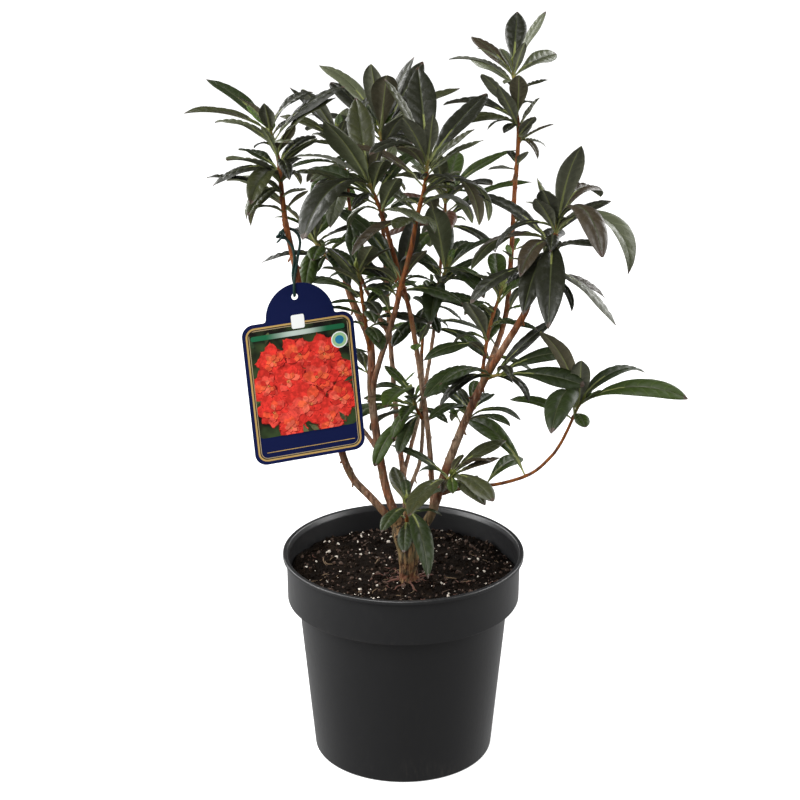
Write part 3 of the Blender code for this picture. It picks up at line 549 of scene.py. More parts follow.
def pot_finish(settings):
    """Satin black plastic with faint scuffs, and dust near the rim, the step and the foot."""
    made = Finish("pot_plastic", specular=0.6)
    up, scuffs, cloud = made.height_up(), made.grain(1.6, 5, (1, 1, 0.16)), made.grain(24, 3)
    foot = 1 - up.eased(0.0, 0.03)
    ledge = up.eased(0.122, 0.129) * (1 - up.eased(0.1305, 0.134))
    rim = up.eased(0.1655, 0.1675)
    dusty = foot * 0.5 + ledge * 0.6 + rim * 0.5 + 0.06
    dusty = dusty * cloud.eased(0.42, 0.7) * scuffs.eased(0.45, 0.75)
    made.raised(made.grain(0.55, 2), 0.02).raised(cloud, 0.12)
    tone = made.blend(dusty, settings.colour, settings.dust)
    return made.done(tone, scuffs * 0.14 + dusty * 0.3 + 0.33)


def compost_finish(settings, name="compost", lightness=1.0):
    """Damp peat with dry patches and paler grit."""
    made = Finish(name, specular=0.04)
    patches, clods, grit = made.grain(26, 2), made.grain(5, 5), made.grain(1.1, 4)
    tone = made.layered(
        shade(settings.colour, lightness),
        (clods.eased(0.46, 0.66) * patches.eased(0.38, 0.62), shade(settings.dry_colour, lightness)),
        (grit.eased(0.62, 0.72) * 0.5, (0.045, 0.028, 0.015)))
    made.raised(clods, 1.6).raised(grit, 0.7)
    return made.done(tone, grit * 0.2 + 0.75)


def speckled_finish(name, colour, other, size, roughness=0.8, depth=0.15, specular=0.3):
    """Two colours mixed by noise, with bumps of the same size."""
    made = Finish(name, specular)
    patches = made.grain(size, 4)
    made.raised(patches, depth)
    tone = made.blend(patches.eased(0.42, 0.62), colour, other)
    return made.done(tone, patches * 0.15 + roughness - 0.08)


def bark_finish(settings):
    """Ochre fissured bark below, streaked grey-brown on the old boughs, orange-brown higher up."""
    made = Finish("bark", specular=0.14)
    up = made.height_up()
    cloud, fleck = made.grain(18, 4), made.grain(1.5, 4, (1, 1, 0.45))
    cracks, mottle = made.grain(2.4, 5, (1, 1, 0.17)), made.grain(5.5, 4)
    streaks, stretch = made.grain(2.4, 4, (1, 1, 0.12)), made.grain(42, 2)
    youth = (up + (cloud - 0.5) * 0.2).eased(0.28, 0.42)
    wood = made.layered(
        settings.old_colour,
        (stretch.eased(0.44, 0.6), (0.14, 0.052, 0.024)),
        (youth, settings.young_colour),
        ((1 - streaks.eased(0.32, 0.44)) * (1 - youth * 0.6) * 0.55, (0.27, 0.2, 0.145)),
        (mottle.eased(0.45, 0.65) * (1 - youth * 0.5) * 0.7, shade(settings.old_colour, 0.36)),
        (cloud.eased(0.52, 0.68) * 0.45, (0.075, 0.066, 0.028)),
        (streaks.eased(0.48, 0.62) * 0.7, (0.03, 0.012, 0.006)),
        ((1 - mottle.eased(0.36, 0.46)) * youth * 0.6, (0.06, 0.011, 0.006)),
        (fleck.eased(0.6, 0.72) * (1 - youth * 0.6) * 0.5, (0.3, 0.23, 0.17)))
    rusty = (1 - up.eased(0.158, 0.175)) * mottle.eased(0.38, 0.6)
    # Near-black fissures under ochre ridges: partly the bark's own darker cracks, partly painted shade in
    # them.
    trunk = made.layered(
        (0.016, 0.009, 0.005), (cracks.eased(0.42, 0.58), settings.trunk_colour),
        (cloud.eased(0.48, 0.66) * 0.6, (0.07, 0.062, 0.028)), (rusty * 0.8, (0.075, 0.026, 0.013)))
    base = 1 - (up + (mottle - 0.5) * 0.02).eased(0.2, 0.216)
    made.raised(cracks, 0.5).raised(streaks, 0.35).raised(fleck, 0.2)
    return made.done(made.blend(base, wood, trunk), fleck * 0.2 + 0.62)


def twig_finish(name, colour, other):
    """Young bark streaked with a second colour and flecked with its darker shade."""
    made = Finish(name, specular=0.14)
    streaks, specks = made.grain(2.6, 4, (1, 1, 0.25)), made.grain(0.6, 2)
    tone = made.layered(colour, (streaks.eased(0.4, 0.65), other),
                        (specks.eased(0.6, 0.7) * 0.6, shade(other, 0.4)))
    made.raised(streaks, 0.2).raised(specks, 0.08)
    return made.done(tone, streaks * 0.2 + 0.48)


def leaf_finish(name, colour, roughness, specular):
    """One plain leaf colour, with fine mottling in its gloss and surface."""
    made = Finish(name, specular)
    pores, scales, patches = made.grain(0.7, 3), made.grain(2.1, 4), made.grain(6, 3)
    made.raised(pores, 0.06).raised(scales, 0.26).raised(patches, 0.45)
    return made.done(colour, scales * 0.34 + patches * 0.22 + roughness - 0.28)


def card_finish(name, colour, roughness=0.5, specular=0.1):
    """Coated card or print in one plain colour."""
    made = Finish(name, specular)
    fibres = made.grain(1.5, 3)
    made.raised(fibres, 0.01)
    return made.done(colour, fibres * 0.08 + roughness - 0.04)


def picture_finish(name, colour, other, size=2.4):
    """Ink that shades softly between two tones, as in a printed picture."""
    made = Finish(name, specular=0.1)
    soft = made.grain(size, 2)
    return made.done(made.blend(soft.eased(0.36, 0.64), colour, other), soft * 0.08 + 0.44)


# ---------------- meshes

CHART_MARGIN = 0.001
SHELF = 0.24  # metres of room on one shelf of an unrolled map


class Build:
    """Points and faces gathered for one piece, with each surface unrolled on a flat map."""

    def __init__(self):
        self.points, self.faces, self.slots, self.corners, self.sharp = [], [], [], [], []
        self.count = 0
        self.at, self.tall = [0.0, 0.0], 0.0

    def shelved(self, flat):
        """The unrolled surface moved to free room on the map."""
        low, high = flat.reshape(-1, 2).min(0), flat.reshape(-1, 2).max(0)
        wide, tall = high - low + CHART_MARGIN
        if self.at[0] + wide > SHELF:
            self.at, self.tall = [0.0, self.at[1] + self.tall], 0.0
        placed = flat - low + np.array(self.at) + CHART_MARGIN / 2
        self.at[0] += wide
        self.tall = max(self.tall, tall)
        return placed

    def add(self, points, groups, sharp=None):
        """Adds points, and for each group its faces, their slots and the map's place of each corner."""
        for faces, slots, corners in groups:
            self.faces.extend((faces + self.count).tolist())
            self.slots.append(np.broadcast_to(slots, len(faces)))
            self.corners.append(np.zeros((faces.size, 2)) if corners is None else corners.reshape(-1, 2))
        self.points.append(points)
        self.sharp.append(np.zeros(len(points), bool) if sharp is None else sharp)
        self.count += len(points)

    def mesh(self, name, mapped=True):
        mesh = bpy.data.meshes.new(name)
        mesh.from_pydata(np.concatenate(self.points), [], self.faces)
        mesh.polygons.foreach_set("use_smooth", [True] * len(mesh.polygons))
        mesh.polygons.foreach_set("material_index", np.concatenate(self.slots).astype(np.int32))
        sharp = np.concatenate(self.sharp)
        if sharp.any():
            ends = np.empty(2 * len(mesh.edges), np.int32)
            mesh.edges.foreach_get("vertices", ends)
            mark = mesh.attributes.new("sharp_edge", "BOOLEAN", "EDGE")
            mark.data.foreach_set("value", sharp[ends.reshape(-1, 2)].all(1))
        if mapped:
            corners = np.concatenate(self.corners)
            unrolled = mesh.uv_layers.new(name="OFBake")
            unrolled.data.foreach_set("uv", (corners / corners.max()).astype(np.float32).ravel())
        mesh.validate()
        return mesh


def linked(name, data):
    """A new object in the scene."""
    made = bpy.data.objects.new(name, data)
    bpy.context.scene.collection.objects.link(made)
    return made


def evaluated(made):
    """The object's mesh with its curve or modifiers worked in, and the object removed."""
    bpy.context.view_layer.update()
    mesh = bpy.data.meshes.new_from_object(made.evaluated_get(bpy.context.evaluated_depsgraph_get()))
    bpy.data.objects.remove(made)
    return mesh


def mesh_from(work, name):
    """A mesh made from a bmesh, which is then freed."""
    mesh = bpy.data.meshes.new(name)
    work.to_mesh(mesh)
    work.free()
    return mesh


def bored(mesh, cutters):
    """The mesh with the cutters' meshes taken away from it."""
    body, tools = linked("body", mesh), [linked("tool", cutter) for cutter in cutters]
    for tool in tools:
        body.modifiers.new("cut", "BOOLEAN").object = tool
    made = evaluated(body)
    for tool in tools:
        bpy.data.objects.remove(tool)
    return made


def add_piece(name, mesh, materials, slot, *nodes):
    """Puts a piece on the root body, keeps only the materials it uses, and hides the parts that it
    replaces.
    """
    made = linked(name, mesh)
    index = np.empty(len(mesh.polygons), np.int32)
    mesh.polygons.foreach_get("material_index", index)
    used, packed = np.unique(index, return_inverse=True)
    for i in used:
        mesh.materials.append(materials[i])
    mesh.polygons.foreach_set("material_index", packed.reshape(-1).astype(np.int32))
    mesh.update()
    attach(made, "root")
    if nodes:
        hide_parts(*nodes)


def turns(count):
    """Angles spaced evenly round a circle."""
    return [tau * k / count for k in range(count)]


class Strand:
    """A line in metres with two directions across it that don't turn about it."""

    def __init__(self, line):
        self.points = np.array([tuple(p) for p in line])
        self.run = lengths_along(self.points) / MM
        along = np.gradient(self.points, axis=0)
        along /= np.linalg.norm(along, axis=1, keepdims=True)
        start = np.cross(along[0], (0.0, -1.0, 0.1))
        across = [start / np.linalg.norm(start)]
        for step in along[1:]:
            side = across[-1] - step * (across[-1] @ step)
            across.append(side / np.linalg.norm(side))
        self.across = np.array(across)
        self.over = np.cross(along, self.across)

    def ray(self, at, angle):
        """The direction out of the line at one of its points."""
        return self.across[at] * cos(angle) + self.over[at] * sin(angle)

    def rings(self, radii):
        """Rings round the line: radii in millimetres, one for each ring and side."""
        turn = np.array(turns(radii.shape[1]))
        ray = self.across[:, None] * np.cos(turn)[:, None] + self.over[:, None] * np.sin(turn)[:, None]
        return self.points[:, None] + ray * radii[..., None] * MM

    def skin(self, build, radii, slots=0):
        add_tube(build, self.rings(radii), (self.points[0], self.points[-1]), slots)


def lengths_along(points):
    return np.concatenate([[0], np.cumsum(np.linalg.norm(np.diff(points, axis=0), axis=1))])


def cells(grid):
    """The four corners of each face between a grid's rows and columns."""
    return np.stack([grid[:-1, :-1], grid[:-1, 1:], grid[1:, 1:], grid[1:, :-1]], 2)


def add_tube(build, rings, ends, slots=0):
    """Joins rings of points into a closed tube with a pole at each end, and unrolls it."""
    count, sides = rings.shape[:2]
    grid = np.arange(count * sides).reshape(count, sides)
    grid = np.concatenate([grid, grid[:, :1]], 1)
    foot = np.stack([grid[0, 1:], grid[0, :-1], np.full(sides, count * sides)], -1)
    head = np.stack([grid[-1, :-1], grid[-1, 1:], np.full(sides, count * sides + 1)], -1)
    run = lengths_along(rings.mean(1))
    girth = np.linalg.norm(rings - np.roll(rings, 1, 1), axis=2).sum(1).max()
    flat = np.stack(np.meshgrid(np.arange(sides + 1) * girth / sides, run), -1).reshape(-1, 2)
    poles = [[0, -girth / 8], [girth, run[-1] + girth / 8]]
    *flat, (_, low), (_, high) = build.shelved(np.concatenate([flat, poles]))
    flat = np.array(flat).reshape(count, sides + 1, 2)
    middle = (flat[0, :-1, 0] + flat[0, 1:, 0]) / 2
    foot_map = np.stack([flat[0, 1:], flat[0, :-1], np.stack([middle, 0 * middle + low], -1)], 1)
    head_map = np.stack([flat[-1, :-1], flat[-1, 1:], np.stack([middle, 0 * middle + high], -1)], 1)
    row_slots = np.repeat(np.broadcast_to(slots, count - 1), sides)
    points = np.concatenate([rings.reshape(-1, 3), np.array(ends)])
    build.add(points, [(cells(grid).reshape(-1, 4), row_slots, cells(flat)),
                       (foot, row_slots[0], foot_map), (head, row_slots[-1], head_map)])


def add_rod(build, line, radii, sides, slots=0):
    """A round tube along a line, with a radius in millimetres for each of its points."""
    Strand(line).skin(build, np.repeat(np.asarray(radii)[:, None], sides, 1), slots)


def ruffled(points, scale, seed):
    """Noise from about -1 to 1 at each point, after stretching by scale in 1/mm."""
    flat = points.reshape(-1, 3) / MM * np.array(scale) + seed
    return np.array([noise.noise(p) for p in flat.tolist()]).reshape(points.shape[:-1])


def swelling(up, long, off=0.0, wide=1.0):
    """1 at the middle of a swelling, fading over these distances up a limb and round it."""
    return np.exp(-(up[:, None] / long) ** 2 - (off / wide) ** 2)


def off_from(angle, sides):
    """How far each side of a ring lies from this angle, from -pi to pi."""
    return (np.array(turns(sides)) - angle + pi) % tau - pi


# ---------------- the source's growing rules

WELD = 1e-6


def metres(point):
    return Vector(point) * MM


def smooth_line(points, spacing):
    """Points spaced evenly in count on a Catmull-Rom line through the given ones, in metres."""
    knots = [metres(p) for p in points]
    knots = [2 * knots[0] - knots[1], *knots, 2 * knots[-1] - knots[-2]]
    line = []
    for a, b, c, d in zip(knots, knots[1:], knots[2:], knots[3:]):
        parts = max(1, round((c - b).length / (spacing * MM)))
        for i in range(parts):
            t = i / parts
            line.append(0.5 * (2 * b + (c - a) * t + (2 * a - 5 * b + 4 * c - d) * t ** 2
                               + (3 * b - a - 3 * c + d) * t ** 3))
    line.append(knots[-2])
    return line


def length_of(line):
    return sum((b - a).length for a, b in zip(line, line[1:]))


def shares(line):
    """How far along the line each of its points lies, from 0 to 1."""
    reached = [0.0]
    for a, b in zip(line, line[1:]):
        reached.append(reached[-1] + (b - a).length)
    return [r / reached[-1] for r in reached]


def between(share, stops):
    """The value at this share of a list of (share, value) stops."""
    for (a, first), (b, second) in zip(stops, stops[1:]):
        if share <= b:
            return first + (second - first) * (share - a) / (b - a)
    return stops[-1][1]


def point_on(line, share):
    """The point this share along the line."""
    return between(share, list(zip(shares(line), line)))


def end_way(line):
    """The direction in which a line ends."""
    return (line[-1] - line[-2]).normalized()


def curve_mesh(splines, closed, **settings):
    """A welded mesh from a curve of straight splines, each a list of (point, radius)."""
    curve = bpy.data.curves.new("curve", "CURVE")
    for key, value in settings.items():
        setattr(curve, key, value)
    for knots in splines:
        spline = curve.splines.new("POLY")
        spline.points.add(len(knots) - 1)
        for knot, (point, radius) in zip(spline.points, knots):
            knot.co, knot.radius = (*point, 1), radius
        spline.use_cyclic_u = closed
    mesh = evaluated(linked("helper", curve))
    bpy.data.curves.remove(curve)
    work = bmesh.new()
    work.from_mesh(mesh)
    bmesh.ops.remove_doubles(work, verts=work.verts, dist=WELD)
    bmesh.ops.recalc_face_normals(work, faces=work.faces)
    work.to_mesh(mesh)
    work.free()
    return mesh


def tapered_tube(line, radii, sides_setting, extra=0.0):
    """A closed mesh along the line, its radii given as (share, radius) stops."""
    knots = [(point, between(share, radii) + extra) for point, share in zip(line, shares(line))]
    return curve_mesh([knots], False, dimensions="3D", bevel_depth=MM,
                      bevel_resolution=sides_setting, use_fill_caps=True)


def bvh_of(mesh):
    return BVHTree.FromPolygons([v.co for v in mesh.vertices], [p.vertices for p in mesh.polygons])


def limb_tables():
    """Centre line and radius stops of the trunk and each bough, in growing order."""
    lines = {"trunk": (smooth_line(TRUNK_ROUTE, 4), TRUNK_RADII, 3)}
    for name, (base, tip, route) in BOUGHS.items():
        sides = 1 if base < THIN_BOUGH else 2
        lines[name] = (smooth_line(route, BOUGH_SPACING), ((0, base), (1, tip)), sides)
    return lines


class Leaf:
    """One blade: where it starts and how it leans, and its cross-sections."""

    def __init__(self, base, bearing, rise, droop, length, roll):
        self.base, self.bearing, self.rise = base, bearing, rise
        self.droop, self.length, self.roll = droop, length, roll
        self.width = LEAF_WIDTH_BASE + LEAF_WIDTH_SHARE * length

    def swung(self, by, tilt):
        return Leaf(self.base, self.bearing + by, self.rise + tilt, self.droop, self.length, self.roll)

    def midrib(self, share):
        """The midrib's point and direction at this share of its length, on an arc that droops."""
        rise, droop = radians(self.rise), radians(max(self.droop, 0.1))
        out = (sin(rise) - sin(rise - droop * share)) / droop
        up = (cos(rise - droop * share) - cos(rise)) / droop
        slope = rise - droop * share
        heading = Vector((cos(radians(self.bearing)), sin(radians(self.bearing)), 0))
        along = heading * cos(slope) + Vector((0, 0, sin(slope)))
        return self.base + (heading * out + Vector((0, 0, up))) * self.length * MM, along

    def half_width(self, share):
        blade = self.width * sin(pi * share ** LEAF_WIDEST_SKEW) ** LEAF_FULLNESS
        return max(blade, PETIOLE_WIDTH * (1 - share)) * MM / 2

    def section(self, share, grow=0.0):
        """Left edge, right edge and keel of the blade."""
        point, along = self.midrib(share)
        side = Vector((0, 0, 1)).cross(along)
        side = side.normalized() if side.length > 1e-6 else Vector((1, 0, 0))
        side = Matrix.Rotation(radians(self.roll * share), 3, along) @ side
        normal = along.cross(side)
        edge = side * (self.half_width(share) + grow)
        top = normal * (LEAF_TOP_SHARE * LEAF_THICKNESS * MM + grow)
        keel = normal * ((1 - LEAF_TOP_SHARE) * LEAF_THICKNESS * MM + grow)
        return point + edge + top, point - edge + top, point - keel

    def surface(self, first=0.0, grow=0.0):
        """Vertices and faces of the blade from the share first to its tip."""
        stations = [max(s, first) for s in LEAF_STATIONS[:-1] if s >= first or s == 0]
        points = [p for s in stations for p in self.section(s, grow)]
        tip, along = self.midrib(1)
        points.append(tip + along * grow)
        faces = [(0, 1, 2)]
        last = len(points) - 4
        for ring in range(0, last, 3):
            faces += [(ring + k, ring + 3 + k, ring + 3 + (k + 1) % 3, ring + (k + 1) % 3)
                      for k in range(3)]
        faces += [(last + k, last + 3, last + (k + 1) % 3) for k in range(3)]
        return points, faces

    def tree(self, first=0.0, grow=0.0):
        return BVHTree.FromPolygons(*self.surface(first, grow))

    def middle(self):
        return self.midrib(0.5)[0]


def spray_line(name, limbs):
    """The stem's centre line: on from its bearer's tip, a gap away, or out of its side."""
    spray = SPRAYS[name]
    route = spray.route
    if spray.bearer == TIP:
        line = limbs["bough_" + name][0]
        start = line[-1] + end_way(line) * GAP * MM
        route = (start / MM, *route)
    line = smooth_line(route, STEM_SPACING)
    onward = end_way(line) * BUD_LENGTH * MM
    return [*line, *(line[-1] + onward * share for share in (0.15, 0.45, 0.8, 1))]


def stem_radii(name, line):
    """Stops that taper the stem and swell it into the bud at its end."""
    base, tip = SPRAYS[name].radii
    bud = [1 - part * BUD_LENGTH * MM / length_of(line) for part in (1, 0.85, 0.55, 0.2)]
    return ((0, base), (bud[0], tip), (bud[1], tip), (bud[2], BUD_RADIUS),
            (bud[3], 0.6 * BUD_RADIUS), (1, 0.2 * BUD_RADIUS))


def leaf_root(line, along, rank):
    """Where a leaf starts: this far along the stem below the bud, staggered by its rank."""
    length = length_of(line)
    reach = length - BUD_LENGTH * MM
    return point_on(line, max(along * reach - rank * LEAF_STAGGER * MM, LOWEST_ROOT * MM) / length)


def spiral_leaves(rng, count, shortest, longest):
    """Leaves down the stem in a golden-angle spiral: upright at the tip, flatter below."""
    bearing = rng.uniform(0, 360)
    for i in range(count):
        share = (i + 0.5) / count
        yield (1 - 0.75 * share, (bearing + GOLDEN_ANGLE * i) % 360,
               58 - 42 * share + rng.uniform(-10, 10), 25 + 45 * share + rng.uniform(-12, 20),
               rng.uniform(shortest, longest))


class Crown:
    """Keeps every leaf clear of limbs, stems, tag and the leaves already placed."""

    def __init__(self, limb_trees, stem_trees):
        self.limb_trees = limb_trees
        self.stem_trees = stem_trees
        self.leaves = {name: [] for name in SPRAYS}

    def clear(self, leaf, spray):
        whole, outer = leaf.tree(PETIOLE_SHARE, LEAF_CLEARANCE * MM), leaf.tree(OWN_SHARE)
        if any(whole.overlap(tree) for tree in self.limb_trees):
            return False
        for name, tree in self.stem_trees.items():
            if (outer if name == spray else whole).overlap(tree):
                return False
        for name, placed in self.leaves.items():
            for other, other_whole, other_outer in placed:
                reach = (other.length + leaf.length) / 2 + REACH_MARGIN
                if (other.middle() - leaf.middle()).length > reach * MM:
                    continue
                mine, theirs = (outer, other_outer) if name == spray else (whole, other_whole)
                if mine.overlap(theirs):
                    return False
        return True

    def place(self, spray, leaf):
        """Keeps the leaf at the first of its turns that is clear, or leaves it out."""
        for by, tilt in TURNS:
            tried = leaf.swung(by, tilt)
            if self.clear(tried, spray):
                self.keep(spray, tried, LEAF_CLEARANCE * MM / 2)
                return

    def keep(self, spray, leaf, grow=0.0):
        self.leaves[spray].append((leaf, leaf.tree(0, grow), leaf.tree(OWN_SHARE)))


def grow_crown(limbs, limb_trees):
    """Leading leaves of every spray first, then the spiral ones that find room."""
    lines = {name: spray_line(name, limbs) for name in SPRAYS}
    stem_trees = {}
    for name, line in lines.items():
        mesh = tapered_tube(line, stem_radii(name, line), 1, LEAF_CLEARANCE)
        stem_trees[name] = bvh_of(mesh)
        bpy.data.meshes.remove(mesh)
    crown = Crown(limb_trees, stem_trees)
    rng = random.Random(SEED)
    for name, spray in SPRAYS.items():
        for rank, (along, *attitude) in enumerate(spray.leads):
            if len(attitude) == 4:
                attitude.append(rng.uniform(-LEAF_ROLL, LEAF_ROLL))
            crown.place(name, Leaf(leaf_root(lines[name], along, rank), *attitude))
    for name, spray in SPRAYS.items():
        for along, *attitude in spiral_leaves(rng, spray.count, *spray.lengths):
            roll = rng.uniform(-LEAF_ROLL, LEAF_ROLL)
            crown.place(name, Leaf(leaf_root(lines[name], along, 0.5), *attitude, roll))
    return lines, crown


def arc(centre, radius, start, end, steps):
    """Points on an arc, in degrees; radius is one number or an (across, up) pair."""
    across, up = radius if isinstance(radius, tuple) else (radius, radius)
    for i in range(steps + 1):
        angle = radians(start + (end - start) * i / steps)
        yield centre[0] + across * cos(angle), centre[1] + up * sin(angle)


def round_box(left, bottom, right, top, r, steps=8):
    """Points round a box with rounded corners, from its lower right corner on."""
    corners = ((right - r, bottom + r), (right - r, top - r), (left + r, top - r), (left + r, bottom + r))
    return [point for turn, corner in enumerate(corners, -1)
            for point in arc(corner, r, 90 * turn, 90 * turn + 90, steps)]


def circle(centre, radius, points):
    return list(arc(centre, radius, 0, 360 - 360 / points, points - 1))


def card_outline(steps, dome_steps, hollow=0):
    """The card's round corners, and the dome that carries the hole, with hollow shoulders."""
    wide, tall = TAG_DOME_HALF_WIDTH, TAG_DOME_TOP - TAG_TOP
    start, beside = degrees(asin(hollow / tall)), wide + hollow
    dome = [*arc((TAG_DOME_SHIFT, TAG_TOP), (wide, tall), start, 180 - start, dome_steps)]
    if hollow:
        dome = [*arc((TAG_DOME_SHIFT + beside, TAG_TOP + hollow), hollow, 270, 180, 6), *dome,
                *arc((TAG_DOME_SHIFT - beside, TAG_TOP + hollow), hollow, 0, -90, 6)]
    box = round_box(-TAG_WIDTH / 2, TAG_BOTTOM, TAG_WIDTH / 2, TAG_TOP, TAG_CORNER, steps)
    return box[:len(box) // 2] + dome + box[len(box) // 2:]


def tag_pose():
    lean = Matrix.Rotation(radians(90 - TAG_LEAN), 4, "X")
    swing = Matrix.Rotation(radians(TAG_SWING), 4, "Z")
    turn = Matrix.Rotation(radians(TAG_TURN), 4, "Z")
    return Matrix.Translation(metres(TAG_HOLE_AT)) @ turn @ lean @ swing


# ---------------- pot

DRAIN_STEPS = 32
POT_SHARP_ANGLE = 50  # degrees


def rounded(corners, steps=4):
    """A profile of (radius, height) points with each corner's own rounding worked in."""
    profile = []
    for i, (r, z, rounding) in enumerate(corners):
        here = Vector((r, z))
        if rounding <= 0 or i in (0, len(corners) - 1):
            profile.append(here)
            continue
        before, after = Vector(corners[i - 1][:2]), Vector(corners[i + 1][:2])
        start = here + (before - here).normalized() * rounding
        end = here + (after - here).normalized() * rounding
        for k in range(steps + 1):
            t = k / steps
            profile.append(start * (1 - t) ** 2 + here * 2 * t * (1 - t) + end * t ** 2)
    return profile


def pot_profile(rounding):
    collar_foot = POT_COLLAR_RADIUS - POT_DRAFT
    rim_foot = POT_HEIGHT - POT_RIM_DEPTH
    ledge = POT_STEP_HEIGHT + POT_WALL
    soft = rounding * 0.6
    return rounded([
        (0, 0.6, 0), (DRAIN_RING_RADIUS - 12, 0.6, 0.5), (DRAIN_RING_RADIUS - 11, 0, 0.5),
        (POT_FOOT_RADIUS, 0, POT_FOOT_ROUND), (POT_BODY_TOP_RADIUS, POT_STEP_HEIGHT - 0.2, soft),
        (collar_foot, POT_STEP_HEIGHT, rounding), (POT_COLLAR_RADIUS, rim_foot - 0.6, rounding),
        (POT_RIM_RADIUS, rim_foot, soft), (POT_RIM_RADIUS, POT_HEIGHT, rounding),
        (POT_RIM_RADIUS - POT_RIM_WIDTH, POT_HEIGHT, rounding),
        (POT_COLLAR_RADIUS - POT_WALL, rim_foot - 1, rounding),
        (collar_foot - POT_WALL, ledge, rounding), (POT_BODY_TOP_RADIUS - POT_WALL, ledge, soft),
        (POT_FOOT_RADIUS - POT_WALL, POT_WALL, POT_FOOT_ROUND), (0, POT_WALL, 0)])


def turned(profile, steps):
    """A closed mesh turned round Z from a profile that starts and ends on the axis."""
    work = bmesh.new()
    poles = [work.verts.new((0, 0, profile[i].y * MM)) for i in (0, -1)]
    rings = [[work.verts.new((r * MM * cos(a), r * MM * sin(a), z * MM)) for a in turns(steps)]
             for r, z in profile[1:-1]]
    for k in range(steps):
        onward = (k + 1) % steps
        work.faces.new((poles[0], rings[0][onward], rings[0][k]))
        work.faces.new((poles[1], rings[-1][k], rings[-1][onward]))
        for low, high in zip(rings, rings[1:]):
            work.faces.new((low[k], low[onward], high[onward], high[k]))
    bmesh.ops.recalc_face_normals(work, faces=work.faces)
    for face in work.faces:
        face.smooth = True
    return mesh_from(work, "turned")


def build_pot(settings):
    drains = []
    for angle in turns(DRAIN_HOLES):
        corners = (0, -3), (DRAIN_RADIUS, -3), (DRAIN_RADIUS, 6), (0, 6)
        drain = turned([Vector(corner) for corner in corners], DRAIN_STEPS)
        way = Vector((cos(angle), sin(angle), 0))
        drain.transform(Matrix.Translation(DRAIN_RING_RADIUS * MM * way))
        drains.append(drain)
    mesh = bored(turned(pot_profile(settings.rounding / MM), settings.steps), drains)
    mesh.set_sharp_from_angle(angle=radians(POT_SHARP_ANGLE))
    add_piece("pot_shell", mesh, [pot_finish(settings)], "pot_plastic", "pot")


# ---------------- compost

SOIL_TOP_RADIUS = POT_COLLAR_RADIUS - POT_DRAFT - POT_WALL - 0.6
CRUMB_SEED, FIBRE_SEED = 11, 12
SURFACE_ROOTS, ROOT_POINTS, FIBRE_POINTS = 9, 9, 6
ROOT_START, ROOT_LENGTHS, ROOT_RADII, ROOT_BEND = 6.5, (9, 24), (0.7, 1.5), 1.1
FIBRE_LENGTHS, FIBRE_RADII, FIBRE_BEND = (3, 15, 6), (0.18, 0.45), 0.9
NEAR_TRUNK, NEAR_TRUNK_REACH, RUSTY_NEAR_TRUNK = 0.35, 30, 0.6  # shares of the fibres, and a radius
TRUNK_X, TRUNK_Y = TRUNK_ROUTE[0][:2]
BED_STEPS, BED_ROWS = 200, 62
BED_NOISE = ((24, 3.1, 1), (9, 7.7, 0.75), (3.2, 1.3, 0.4), (1.4, 5.2, 0.22))  # width, layer, share
BED_SAG, BED_SAG_BEHIND = 2.2, 3.0
GRAIN_DENTS, GRAIN_SUNK = (0.72, 1.2), (-0.1, 0.35)
GRAIN_SQUASH = ((0.6, 1.3), (0.6, 1.1), (0.5, 0.9))


def soil_height(x, y, relief):
    """Height of the compost's surface in millimetres, lower beside the wall."""
    lumps = sum(share * noise.noise((x / wide, y / wide, layer)) for wide, layer, share in BED_NOISE)
    out = hypot(x, y)
    sag = max(0, (out - SOIL_FLAT_RADIUS) / (SOIL_TOP_RADIUS - SOIL_FLAT_RADIUS)) ** 2
    behind = max(0, y / max(out, 1))
    return SOIL_LEVEL - GAP + relief * lumps - sag * (BED_SAG + BED_SAG_BEHIND * behind)


def build_compost_bed(settings):
    """The bed: a lumpy top, and sides that follow the pot's inner wall."""
    relief = settings.relief / MM

    def ring(radius, height=None):
        spots = [(radius * cos(a), radius * sin(a)) for a in turns(BED_STEPS)]
        return [(x, y, soil_height(x, y, relief) if height is None else height) for x, y in spots]

    ledge, foot = POT_STEP_HEIGHT + POT_WALL + GAP, POT_WALL + GAP
    body_radius, foot_radius = POT_BODY_TOP_RADIUS - POT_WALL, POT_FOOT_RADIUS - POT_WALL
    rings = [ring(SOIL_TOP_RADIUS * (i / BED_ROWS) ** 0.9) for i in range(1, BED_ROWS + 1)]
    rings += [ring(SOIL_TOP_RADIUS - 0.4, ledge), ring(body_radius - 0.6, ledge - 0.2),
              ring(foot_radius - 0.8, POT_WALL + 2.5), ring(foot_radius - 4, foot)]
    ends = [(0, 0, soil_height(0, 0, relief) * MM), (0, 0, foot * MM)]
    build = Build()
    add_tube(build, (np.array(rings) * MM)[:, ::-1], ends)
    mesh = build.mesh("compost_bed", mapped=False)
    add_piece("compost_bed", mesh, [compost_finish(settings)], "compost", "soil")


def lump(subdivisions):
    """Corners and faces of a ball of radius 1."""
    work = bmesh.new()
    bmesh.ops.create_icosphere(work, subdivisions=subdivisions, radius=1)
    points = np.array([tuple(v.co) for v in work.verts])
    faces = np.array([[v.index for v in f.verts] for f in work.faces])
    work.free()
    return points, faces


def strewn(rng, reach):
    """A random spot on the compost within this radius, in millimetres."""
    out = reach * sqrt(rng.random())
    turn = rng.uniform(0, tau)
    return out * cos(turn), out * sin(turn)


